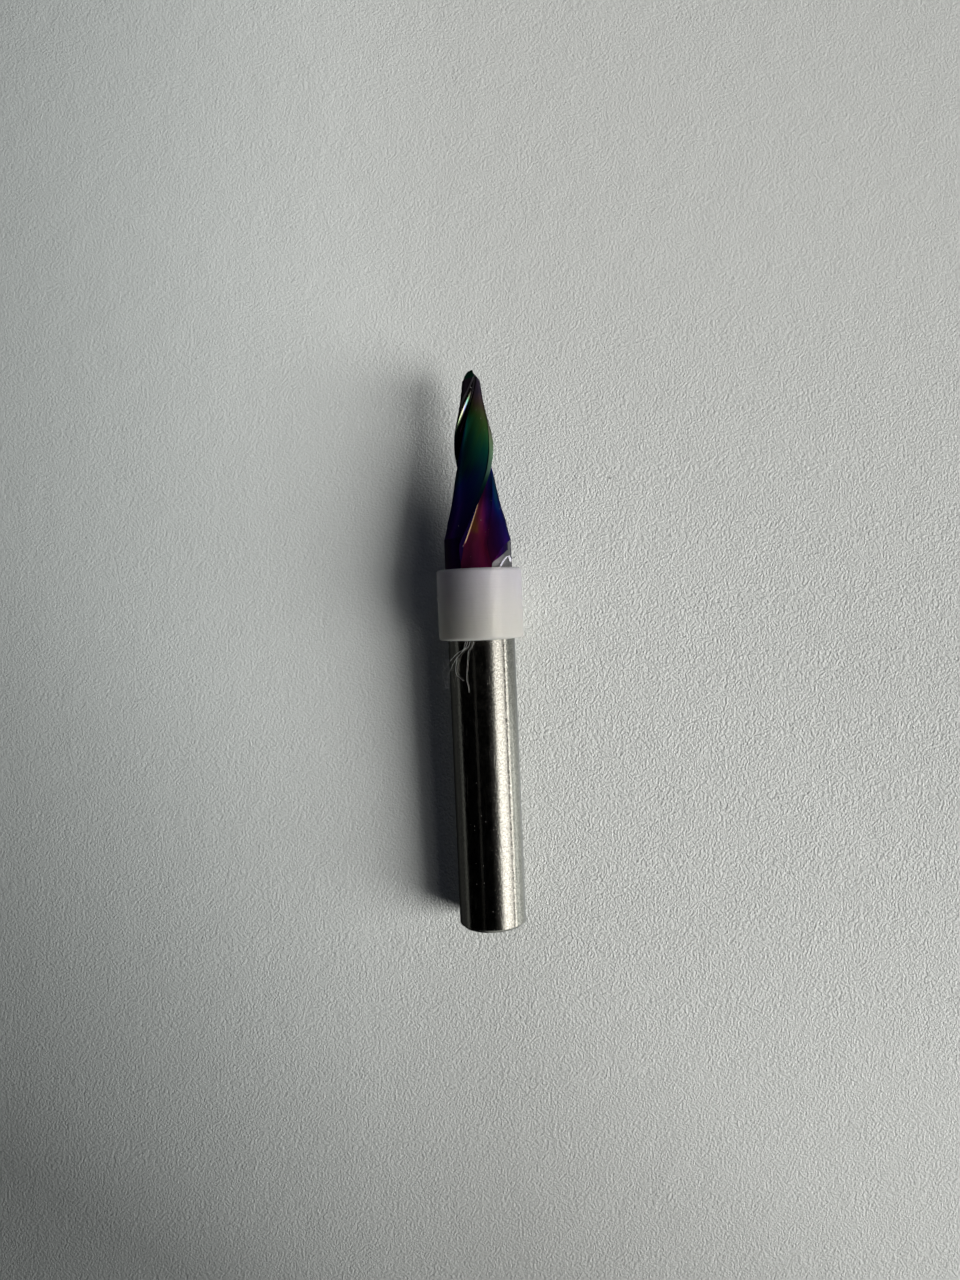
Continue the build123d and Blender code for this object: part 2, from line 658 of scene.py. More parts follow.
def make_winding(law: CutterLaw) -> NodeTree:
    """Group that tells where a point lies on the wound cutter.

    Args:
        law: The law that the cutter follows.

    Returns:
        A group that puts out the phase round from the edge, which is 0 at the edge, grows
        through the flute and over the back, and is 1 at the next edge, and the height in
        millimetres.
    """
    sheet, _, target = new_group("winding", {}, {"Phase": "Float", "Height": "Float"})
    axes = sheet.axes(sheet.millimetres())
    held = sheet.math("MINIMUM", sheet.math("MAXIMUM", axes[2], law.helix_end), law.ball_seam)
    fall = sheet.times(sheet.less(held, law.cone_foot), law.cone_slope)
    radius = sheet.less(law.shank_radius, fall)
    growth = sheet.math("LOGARITHM", sheet.math("DIVIDE", law.shank_radius, radius), math.e)
    turn = sheet.line(growth, law.helix_rate, math.radians(law.edge_bearing - 90))
    behind = sheet.less(sheet.math("ARCTAN2", axes[1], axes[0]), turn)
    phase = sheet.math("FRACT", sheet.math("DIVIDE", behind, math.radians(law.pitch)))
    sheet.feed(target, {"Phase": phase, "Height": axes[2]})
    return sheet.tree


def make_growth() -> NodeTree:
    """Group that tells how thick the hard film has grown.

    It is thick at the tip. Down the cone it gets thinner, first at the edge and in the flute.

    Returns:
        A group that turns phase and height into the film's thickness, from 0 to 1.
    """
    inputs = {"Phase": 0.0, "Height": 0.0}
    sheet, given, target = new_group("film_growth", inputs, {"Thickness": "Float"})
    phase, height = given["Phase"], given["Height"]

    # In the flute: phases up to which it is thin, by height, and how it grows behind them
    thin_until = (
        (33.5, 0.37), (34.5, 0.34), (35.5, 0.30), (36.5, 0.24), (37.5, 0.19), (38.5, 0.14),
        (39.5, 0.10), (40.5, 0.07), (41.5, 0.08), (43.0, 0.13), (44.2, 0.10), (44.7, 0.05),
        (45.5, -0.03), (46.0, -0.08), (46.5, -0.13), (47.2, -0.24), (48.0, -0.45), (48.5, -0.6),
    )
    growth_behind = 1.15
    thin = 0.34
    least = ((33.0, 0.25), (34.5, 0.22), (35.2, 0.19), (35.8, 0.10), (36.5, 0.08))
    behind = sheet.less(phase, sheet.profile(height, thin_until))
    in_flute = sheet.line(behind, growth_behind, thin)
    in_flute = sheet.math("MAXIMUM", in_flute, sheet.profile(height, least))

    # On the lower back: the thickness round the foot, at one height, and how it grows upwards
    round_foot = (
        (0.0, 0.50), (0.2, 0.475), (0.35, 0.49), (0.5, 0.475), (0.65, 0.435), (0.8, 0.43),
        (0.92, 0.465), (1.0, 0.475),
    )
    foot_height = 36.5
    growth_upwards = 0.022
    low = sheet.line(height, growth_upwards, sheet.profile(phase, round_foot))
    low = sheet.less(low, growth_upwards * foot_height)

    # On the upper back: the thickness by height, and how it slants up to a phase
    up_back = (
        (40.0, 0.52), (41.5, 0.585), (42.5, 0.625), (43.5, 0.68), (44.5, 0.745), (45.5, 0.79),
        (46.3, 0.85), (47.0, 0.92), (48.0, 1.0),
    )
    level_from = 0.62
    turned = sheet.math("MINIMUM", sheet.less(phase, level_from), 0.0)
    slant = sheet.profile(height, ((45.5, 0.4), (47.0, 0.0)))
    high = sheet.line(turned, slant, sheet.profile(height, up_back))

    on_back = sheet.between(sheet.rescale(height, (40.0, 42.0)), low, high)
    softness = 0.04
    thickness = sheet.math("SMOOTH_MIN", in_flute, on_back, softness)
    sheet.feed(target, {"Thickness": thickness})
    return sheet.tree


def make_film() -> NodeTree:
    """Group that gives the colour of the thin hard film on the ground faces.

    Returns:
        A group that turns the film's thickness, from 0 to 1, into its interference colour.
    """
    sheet, given, target = new_group("rainbow_film", {"Thickness": 0.5}, {"Colour": "Color"})
    stops = (
        (0.00, (0.80, 0.42, 0.12)),
        (0.09, (0.85, 0.34, 0.10)),
        (0.17, (0.75, 0.10, 0.25)),
        (0.25, (0.62, 0.06, 0.30)),
        (0.30, (0.42, 0.03, 0.36)),
        (0.35, (0.20, 0.015, 0.30)),
        (0.41, (0.11, 0.015, 0.37)),
        (0.50, (0.01, 0.03, 0.36)),
        (0.56, (0.01, 0.14, 0.25)),
        (0.63, (0.01, 0.32, 0.22)),
        (0.70, (0.07, 0.42, 0.13)),
        (0.76, (0.16, 0.38, 0.08)),
        (0.82, (0.28, 0.34, 0.12)),
        (0.88, (0.30, 0.24, 0.14)),
        (0.95, (0.31, 0.20, 0.22)),
        (1.00, (0.20, 0.15, 0.24)),
    )
    sheet.feed(target, {"Colour": sheet.ramp(given["Thickness"], stops)})
    return sheet.tree


def make_dust() -> NodeTree:
    """Group that strews fine dust.

    Returns:
        A group that puts out 1 on a speck and 0 between them.
    """
    inputs = {"Specks in a Millimetre": 3.0, "Share": 0.25}
    sheet, given, target = new_group("dust", inputs, {"Specks": "Float"})
    cells = given["Specks in a Millimetre"]
    specks = sheet.strew(sheet.millimetres(), cells, (0.10, 0.06), given["Share"])
    sheet.feed(target, {"Specks": specks})
    return sheet.tree


def make_grinding() -> NodeTree:
    """Group for the fine lines that the wheel leaves along a flute or a back.

    Returns:
        A group that puts out the lines from 0 to 1, and slow streaks along them.
    """
    inputs = {"Phase": 0.0, "Height": 0.0, "Lines Across": 90.0}
    kinds = {"Lines": "Float", "Streaks": "Float"}
    sheet, given, target = new_group("grinding_lines", inputs, kinds)
    stretch = 0.35
    slowness = 0.16
    across = sheet.times(given["Phase"], given["Lines Across"])
    along = sheet.times(given["Height"], stretch)
    lines = sheet.noise(sheet.vector(across, along, 0.0), 1.0, 3.0)
    streaks = sheet.noise(sheet.vector(sheet.times(across, slowness), along, 7.0), 1.0, 2.0)
    sheet.feed(target, {"Lines": lines, "Streaks": streaks})
    return sheet.tree


@dataclass(frozen=True)
class RainbowCoat:
    """Rainbow-coloured hard coating on one kind of ground face.

    The first five pairs give a look at the foot of the cone and at the tip. The pairs of
    heights give where something starts and where it is full.
    """

    name: str
    # shade: the coat's own reflectance, and painted light where it rises towards the tip
    shade: Pair = (0.4, 0.4)
    # Painted highlight: how far the colour is whitened at the foot and at the tip
    highlight_whitening: Pair = (0.0, 0.0)
    roughness: Pair = (0.27, 0.27)
    clear_layer: Pair = (0.1, 0.15)
    film_shift: Pair = (0.0, 0.0)
    lines_across: float = 90.0
    line_strength: float = 0.12
    line_depth: float = 0.02
    specks: float = 0.2
    # Painted highlight along the flute's edge, which is also worn there
    edge_wear_and_highlight: bool = False
    # Painted highlight on the land, with painted light and shade on the back
    painted_land_light: bool = False
    in_flute: bool = False
    shade_heights: Pair = (40.0, 43.0)
    roughness_heights: Pair = (39.0, 43.5)
    clear_heights: Pair = (41.0, 44.0)
    shift_heights: Pair = (39.0, 42.0)
    edge_line_starts: Pair = (34.3, 34.8)
    edge_line_fades: Pair = (43.0, 39.6)
    land_heights: Pair = (39.2, 41.0)
    greener_heights: Pair = (38.0, 40.5)
    streak_share: float = 0.08
    highlight_whitening_colour: Colour = (0.5, 0.5, 0.48)
    land_highlight_colour: Colour = (0.5, 0.5, 0.47)
    edge_wear_and_highlight_colour: Colour = (0.30, 0.20, 0.12)
    rim_tint: Colour = (0.30, 0.28, 0.30)

    def make(self, effects: CarbideEffects) -> Material:
        """Make the material.

        Args:
            effects: Effects that the finishes share.

        Returns:
            The material.
        """
        material, sheet, shader = new_material(self.name)
        place = sheet.group(effects.winding)
        height = place["Height"]
        colour, lines, streaks = self.paint(sheet, effects, place)
        dust_and_edge_line = sheet.group(effects.dust, {"Share": self.specks})["Specks"]
        colour = sheet.mix(dust_and_edge_line, colour, DUST_COLOUR)
        # Painted highlight along the edge, also worn there: a cream line with less metal
        if self.edge_wear_and_highlight:
            edge = sheet.rescale(place["Phase"], (0.012, 0.005))
            edge = sheet.times(edge, sheet.rescale(height, self.edge_line_starts))
            edge = sheet.times(edge, sheet.rescale(height, self.edge_line_fades))
            colour = sheet.mix(edge, colour, self.edge_wear_and_highlight_colour)
            dust_and_edge_line = sheet.math("MAXIMUM", dust_and_edge_line, edge)
        rough = sheet.rescale(height, self.roughness_heights, self.roughness)
        feeds = {
            "Base Color": colour,
            "Metallic": sheet.less(1.0, dust_and_edge_line),
            "Roughness": sheet.line(streaks, self.streak_share, rough),
            "Specular Tint": self.rim_tint,
            "Coat Weight": sheet.rescale(height, self.clear_heights, self.clear_layer),
            "Coat Roughness": 0.08,
            "Coat IOR": 1.5,
        }
        sheet.feed(shader, feeds)
        sheet.bump(shader, lines, self.line_strength, self.line_depth)
        return material

    def paint(
        self, sheet: Sheet, effects: CarbideEffects, place: Outputs
    ) -> tuple[Socket, Socket, Socket]:
        """Work out the coat's colour.

        Args:
            sheet: Sheet of the material.
            effects: Effects that the finishes share.
            place: What the winding group puts out.

        Returns:
            The colour, the grinding lines and the streaks.
        """
        height = place["Height"]
        where = {"Phase": place["Phase"], "Height": height}
        grinding = sheet.group(effects.grinding, {"Lines Across": self.lines_across, **where})
        lines, streaks = grinding["Lines"], grinding["Streaks"]
        film = sheet.group(effects.growth, where)["Thickness"]
        shift = sheet.rescale(height, self.shift_heights, self.film_shift)
        film = sheet.math("ADD", film, shift)
        film = sheet.line(sheet.less(streaks, 0.5), self.streak_share, film)
        if self.painted_land_light:
            greener = self.on_land(sheet, place, (0.0, 0.02), self.greener_heights)
            film = sheet.line(greener, 0.09, film)
        colour = sheet.group(effects.film, {"Thickness": film})["Colour"]
        # Painted highlight: the colour is whitened towards the tip
        highlight_whitening = sheet.rescale(height, self.shade_heights, self.highlight_whitening)
        colour = sheet.mix(highlight_whitening, colour, self.highlight_whitening_colour)
        bright = sheet.line(lines, 0.3, 0.85)
        bright = sheet.times(bright, sheet.rescale(height, self.shade_heights, self.shade))
        if self.in_flute:
            bright = self.paint_flute_highlights(sheet, place, bright)
        # Painted light and shade on the land and the back
        if self.painted_land_light:
            colour, bright = self.paint_land_light(sheet, place, colour, bright)
        return sheet.tint(colour, sheet.grey(bright)), lines, streaks

    def paint_flute_highlights(self, sheet: Sheet, place: Outputs, bright: Feed) -> Socket:
        """Paint a highlight next to a flute's edge near the tip, and light deep in it near the foot.

        Args:
            sheet: Sheet of the material.
            place: What the winding group puts out.
            bright: Brightness so far.

        Returns:
            The brightness.
        """
        height = place["Height"]
        half_on = sheet.math("FRACT", sheet.math("ADD", place["Phase"], 0.5))
        turned = sheet.less(half_on, 0.5)
        # Painted highlight next to the edge at the tip; at the foot painted light deep in the flute and
        # painted shade next to the edge
        near_edge = ((-0.1, 2.2), (0.008, 1.9), (0.03, 0.55), (0.06, 0.45), (0.12, 0.2))
        deep = ((-0.1, 0.7), (0.07, 0.8), (0.14, 1.7), (0.25, 3.2), (0.4, 3.2))
        at_tip = sheet.profile(turned, near_edge)
        at_foot = sheet.profile(turned, deep)
        # The painted light at the foot fades out upwards
        at_foot = sheet.times(at_foot, sheet.profile(height, ((37.5, 1.0), (38.7, 0.4))))
        factor = sheet.between(sheet.rescale(height, (41.0, 43.5)), at_foot, at_tip)
        return sheet.times(bright, factor)

    def on_land(self, sheet: Sheet, place: Outputs, past: Pair, heights: Pair) -> Socket:
        """Share of the land behind the edge, which gets wider towards the tip.

        Args:
            sheet: Sheet of the material.
            place: What the winding group puts out.
            past: Phases past the land's border at which the share starts and is full.
            heights: Heights at which it starts and is full.

        Returns:
            The share.
        """
        border = (
            (40.0, 0.945), (40.8, 0.94), (42.6, 0.902), (45.0, 0.824), (46.5, 0.78),
            (47.4, 0.90), (48.0, 0.94), (50.0, 0.94),
        )
        over = sheet.less(place["Phase"], sheet.profile(place["Height"], border))
        return sheet.times(sheet.rescale(over, past), sheet.rescale(place["Height"], heights))

    def paint_land_light(
        self, sheet: Sheet, place: Outputs, colour: Feed, bright: Feed
    ) -> tuple[Socket, Socket]:
        """Paint a highlight on the land behind a painted dark line, and painted light and shade on the
        back.

        Args:
            sheet: Sheet of the material.
            place: What the winding group puts out.
            colour: Colour so far.
            bright: Brightness so far.

        Returns:
            The colour and the brightness.
        """
        phase, height = place["Phase"], place["Height"]
        # Painted highlight on the land, behind a painted dark line
        land = self.on_land(sheet, place, (0.004, 0.016), self.land_heights)
        line = self.on_land(sheet, place, (-0.014, -0.004), self.land_heights)
        line = sheet.times(line, sheet.less(1.0, land))

        # Painted light on the lower back, changing round the phase
        low_back = (
            (0.2, 1.3), (0.5, 1.5), (0.66, 1.9), (0.76, 1.5), (0.88, 1.0), (0.96, 0.6), (1.0, 0.5),
        )
        low = sheet.less(sheet.profile(phase, low_back), 1.0)
        low = sheet.times(low, sheet.rescale(height, (41.0, 39.5)))
        bright = sheet.times(bright, sheet.math("ADD", low, 1.0))
        # Painted shade at the back's foot, and painted light on the heel
        foot = sheet.times(
            sheet.rescale(phase, (0.52, 0.44)), sheet.rescale(height, (37.8, 36.0))
        )
        heel = sheet.times(
            sheet.rescale(phase, (0.44, 0.30)), sheet.rescale(height, (40.0, 42.0))
        )
        heel = sheet.times(heel, sheet.rescale(height, (46.5, 44.5)))
        for share, gain in ((foot, -0.4), (land, 1.9), (line, -0.85), (heel, 2.5)):
            bright = sheet.times(bright, sheet.line(share, gain, 1.0))
        return sheet.mix(sheet.times(land, 0.4), colour, self.land_highlight_colour), bright


@dataclass(frozen=True)
class GroundShank:
    """Bare carbide of the shank, polished by the grinding wheel round and round.

    Next to the flutes the rainbow coat reaches over a part of it, behind each edge.
    """

    coat: RainbowCoat
    ring_top: float
    name: str = "ground_shank"
    colour: Colour = (0.45, 0.43, 0.375)
    pit_colour: Colour = (0.12, 0.10, 0.07)
    scratch_colour: Colour = (0.75, 0.72, 0.66)
    dulled_colour: Colour = (0.42, 0.40, 0.43)
    roughness: float = 0.16
    spread: float = 0.93
    specks: float = 0.10
    coat_from: float = 0.60
    coat_fray: float = 0.05
    coat_foot: float = 26.6
    coat_rise: float = 5.0
    ring_blur: float = 0.2

    def make(self, effects: CarbideEffects) -> Material:
        """Make the material.

        Args:
            effects: Effects that the finishes share.

        Returns:
            The material.
        """
        material, sheet, shader = new_material(self.name)
        place = sheet.group(effects.winding)
        height = place["Height"]
        coat, _, _ = self.coat.paint(sheet, effects, place)
        spot = sheet.millimetres()
        clouds = sheet.noise(spot, 1.1, 4.0)
        mottles = sheet.rescale(sheet.noise(spot, 4.5, 3.0), (0.35, 0.65))
        grains = sheet.rescale(sheet.noise(spot, 10.0, 2.0), (0.35, 0.65))
        pits = sheet.rescale(sheet.noise(spot, 9.0, 2.0), (0.66, 0.74))
        ridges, scratches = self.wheel_marks(sheet, spot)
        specks = sheet.group(effects.dust, {"Share": self.specks})["Specks"]

        tone = sheet.line(clouds, 0.35, 0.5)
        tone = sheet.line(mottles, 0.25, tone)
        tone = sheet.line(grains, 0.4, tone)
        worn = sheet.mix(sheet.times(pits, 0.6), self.colour, self.pit_colour)
        worn = sheet.tint(worn, sheet.grey(tone))
        worn = sheet.mix(sheet.times(scratches, 0.35), worn, self.scratch_colour)
        worn = sheet.mix(specks, worn, DUST_COLOUR)
        at_ring = (self.ring_top - self.ring_blur, self.ring_top + self.ring_blur)
        worn = sheet.mix(sheet.rescale(height, at_ring, (0.0, 0.7)), worn, self.dulled_colour)

        rough = sheet.line(clouds, 0.12, self.roughness - 0.08)
        rough = sheet.line(mottles, 0.05, rough)
        relief = sheet.line(mottles, 0.25, sheet.times(ridges, 0.5))
        relief = sheet.line(grains, 0.1, relief)
        relief = sheet.less(relief, sheet.times(pits, 0.5))
        relief = sheet.line(scratches, -0.3, relief)
        feeds = {
            "Base Color": sheet.mix(self.coated(sheet, place, spot), worn, coat),
            "Metallic": sheet.less(1.0, specks),
            "Roughness": sheet.line(sheet.rescale(height, at_ring), 0.4, rough),
            "Anisotropic": self.spread,
            "Anisotropic Rotation": 0.25,
            "Tangent": sheet.add("Tangent", direction_type="RADIAL", axis="Z").outputs[0],
        }
        sheet.feed(shader, feeds)
        sheet.bump(shader, relief, 0.5, 0.02)
        return material

    def wheel_marks(self, sheet: Sheet, spot: Socket) -> tuple[Socket, Socket]:
        """Marks that the grinding wheel and use have left.

        Args:
            sheet: Sheet of the material.
            spot: Place in millimetres.

        Returns:
            Ridges round the shank, and fine scratches along it.
        """
        axes = sheet.axes(spot)
        turn = sheet.math("ARCTAN2", axes[1], axes[0])
        ridges = sheet.noise(sheet.vector(sheet.times(turn, 0.8), 0.0, axes[2]), 14.0, 4.0)
        along = sheet.vector(sheet.times(turn, 40.0), 3.0, sheet.times(axes[2], 0.25))
        return ridges, sheet.rescale(sheet.noise(along, 1.0, 2.0), (0.66, 0.74))

    def coated(self, sheet: Sheet, place: Outputs, spot: Socket) -> Socket:
        """Share of the coat, also where it has crept out of a flute's end to a slanting line.

        Args:
            sheet: Sheet of the material.
            place: What the winding group puts out.
            spot: Place in millimetres.

        Returns:
            The share.
        """
        phase, height = place["Phase"], place["Height"]
        frayed = sheet.line(sheet.noise(spot, 1.6, 3.0), 0.06, phase)
        behind_edge = sheet.rescale(frayed, (self.coat_from, self.coat_from + self.coat_fray))
        above = sheet.rescale(height, (self.coat_foot, self.coat_foot + self.coat_rise))
        slanting = sheet.profile(phase, ((0.236, 32.35), (0.50, 33.8)))
        crept = sheet.rescale(sheet.less(height, slanting), (-0.04, 0.04))
        crept = sheet.times(crept, sheet.rescale(phase, (0.53, 0.51)))
        return sheet.math("MAXIMUM", sheet.times(behind_edge, above), crept)


@dataclass(frozen=True)
class MouldedNylon:
    """Milky plastic that lets light through, with faint lines that the mould left."""

    name: str = "moulded_nylon"
    top_colour: Colour = (0.63, 0.605, 0.635)
    foot_colour: Colour = (0.685, 0.665, 0.61)
    clearness: float = 0.37
    refraction: float = 1.4
    depth: float = 1.2
    reach: Point = (1.0, 0.95, 0.95)
    roughness: float = 0.5
    scuffing: float = 0.14

    def make(self, bottom: float, top: float) -> Material:
        """Make the material.

        Args:
            bottom: Height of the ring's lower end.
            top: Height of its upper end.

        Returns:
            The material.
        """
        material, sheet, shader = new_material(self.name)
        spot = sheet.millimetres()
        axes = sheet.axes(spot)
        cloudy_height = sheet.line(sheet.noise(spot, 0.6, 3.0), 3.0, axes[2])
        share = sheet.rescale(cloudy_height, (bottom + 2.0, top + 1.5))
        scuffs = sheet.noise(spot, 7.0, 3.0)
        least_rough = self.roughness - self.scuffing / 2
        feeds = {
            "Base Color": sheet.mix(share, self.foot_colour, self.top_colour),
            "Roughness": sheet.line(scuffs, self.scuffing, least_rough),
            "Transmission Weight": self.clearness,
            "IOR": self.refraction,
            "Subsurface Weight": 1.0,
            "Subsurface Scale": self.depth * MM,
            "Subsurface Radius": self.reach,
        }
        sheet.feed(shader, feeds)
        turn = sheet.math("ARCTAN2", axes[1], axes[0])
        around = sheet.vector(sheet.times(turn, 0.9), 0.0, sheet.times(axes[2], 5.0))
        skin = sheet.noise(around, 1.0, 3.0)
        skin = sheet.line(sheet.noise(spot, 20.0, 2.0), 0.15, skin)
        skin = sheet.line(sheet.noise(spot, 2.5, 3.0), 0.8, skin)
        sheet.bump(shader, skin, 0.45, 0.04)
        return material


@dataclass(frozen=True)
class GrainedTable:
    """Pale grained board, which gets less of the window's light to the left and lower left.

    Nothing of it shows from behind.
    """

    name: str = "grained_table"
    colour: Colour = (0.80, 0.81, 0.765)
    far_colour: Colour = (0.77, 0.81, 0.775)
    crumb_colour: Colour = (0.10, 0.10, 0.09)
    roughness: float = 0.45
    grain_depth: float = 0.12

    def make(self) -> Material:
        """Make the material.

        Returns:
            The material.
        """
        material, sheet, shader = new_material(self.name)
        spot = sheet.millimetres()
        axes = sheet.axes(spot)
        warmth = sheet.rescale(axes[0], (-45.0, 10.0))
        board = sheet.mix(warmth, self.far_colour, self.colour)
        board = sheet.tint(board, sheet.grey(self.light(sheet, axes)))
        crumbs = sheet.strew(spot, 0.09, (0.018, 0.008), 0.3)
        feeds = {
            "Base Color": sheet.mix(crumbs, board, self.crumb_colour),
            "Roughness": self.roughness,
        }
        sheet.feed(shader, feeds)
        sheet.bump(shader, self.grain(sheet, spot, axes), 1.0, self.grain_depth)
        self.see_through(sheet, shader)
        return material

    def light(self, sheet: Sheet, axes: Outputs) -> Socket:
        """Share of the light that reaches a place.

        Args:
            sheet: Sheet of the material.
            axes: Place in millimetres, axis by axis.

        Returns:
            The share.
        """
        sideways = (
            (-45.0, 0.72), (-33.0, 0.86), (-22.0, 0.985), (-12.0, 1.04), (0.0, 0.97),
            (11.0, 0.94), (22.0, 0.91), (45.0, 0.845),
        )
        corner = (
            (-0.8, 0.95), (-0.5, 0.98), (-0.2, 0.96), (0.0, 0.93), (0.1, 0.91), (0.2, 0.86),
            (0.33, 0.78), (0.5, 0.69), (0.67, 0.58), (0.84, 0.48), (1.0, 0.34),
        )
        drop = sheet.line(axes[2], -1 / 67, 0.18)
        drop = sheet.line(sheet.math("MINIMUM", axes[0], 0.0), -1 / 95, drop)
        drop = sheet.line(sheet.math("MAXIMUM", axes[0], 0.0), -1 / 60, drop)
        return sheet.times(sheet.profile(axes[0], sideways), sheet.profile(drop, corner))

    def grain(self, sheet: Sheet, spot: Socket, axes: Outputs) -> Socket:
        """Height of the grain, which stands out more to the right of the tool.

        Args:
            sheet: Sheet of the material.
            spot: Place in millimetres.
            axes: The same place, axis by axis.

        Returns:
            The height.
        """
        at_left = ((-20.0, 1.1), (0.0, 0.95), (22.0, 0.7), (60.0, 0.55))
        at_right = ((-20.0, 1.15), (0.0, 1.6), (22.0, 1.6), (40.0, 1.15), (60.0, 0.65))
        fine = sheet.noise(spot, 5.0, 1.5, distortion=0.3)
        broad = sheet.noise(spot, 0.35, 2.0)
        share = sheet.rescale(axes[0], (-15.0, 10.0))
        dim = sheet.profile(axes[2], at_left)
        strong = sheet.between(share, dim, sheet.profile(axes[2], at_right))
        return sheet.line(broad, 0.5, sheet.times(strong, fine))

    def see_through(self, sheet: Sheet, shader: Node) -> None:
        """Show nothing of the board from behind.

        Args:
            sheet: Sheet of the material.
            shader: Shader of its front.
        """
        clear = sheet.add("BsdfTransparent").outputs[0]
        behind = sheet.add("NewGeometry").outputs["Backfacing"]
        blend = sheet.add("MixShader", {0: behind, 1: shader.outputs[0], 2: clear}).outputs[0]
        sheet.feed(sheet.tree.nodes["Material Output"], {"Surface": blend})


def carbide_finishes(law: CutterLaw) -> list[Material]:
    """Finishes of the cutter, in the order of its surfaces.

    Args:
        law: The law that the cutter follows.

    Returns:
        One material for each surface.
    """
    effects = CarbideEffects(
        winding=make_winding(law),
        growth=make_growth(),
        film=make_film(),
        grinding=make_grinding(),
        dust=make_dust(),
    )
    finishes = {
        Surface.SHANK: GroundShank(RainbowCoat("shank_coat", shade=(0.3, 0.3)), law.ring_top),
        Surface.CONE: RainbowCoat("coated_margin", shade=(0.4, 0.9), painted_land_light=True),
        Surface.FLUTE: RainbowCoat(
            "coated_flute", shade=(0.36, 0.7), highlight_whitening=(0.03, 0.3), roughness=(0.85, 0.10),
            clear_layer=(0.0, 0.8), edge_wear_and_highlight=True, in_flute=True,
        ),
        Surface.BACK: RainbowCoat("coated_back", painted_land_light=True),
        Surface.LAND: RainbowCoat("coated_land", painted_land_light=True),
        Surface.CROWN: RainbowCoat("coated_tip", shade=(0.3, 0.3), film_shift=(0.0, -0.35)),
        Surface.GASH: RainbowCoat("coated_gash", shade=(0.3, 0.3)),
    }
    return [finishes[surface].make(effects) for surface in Surface]


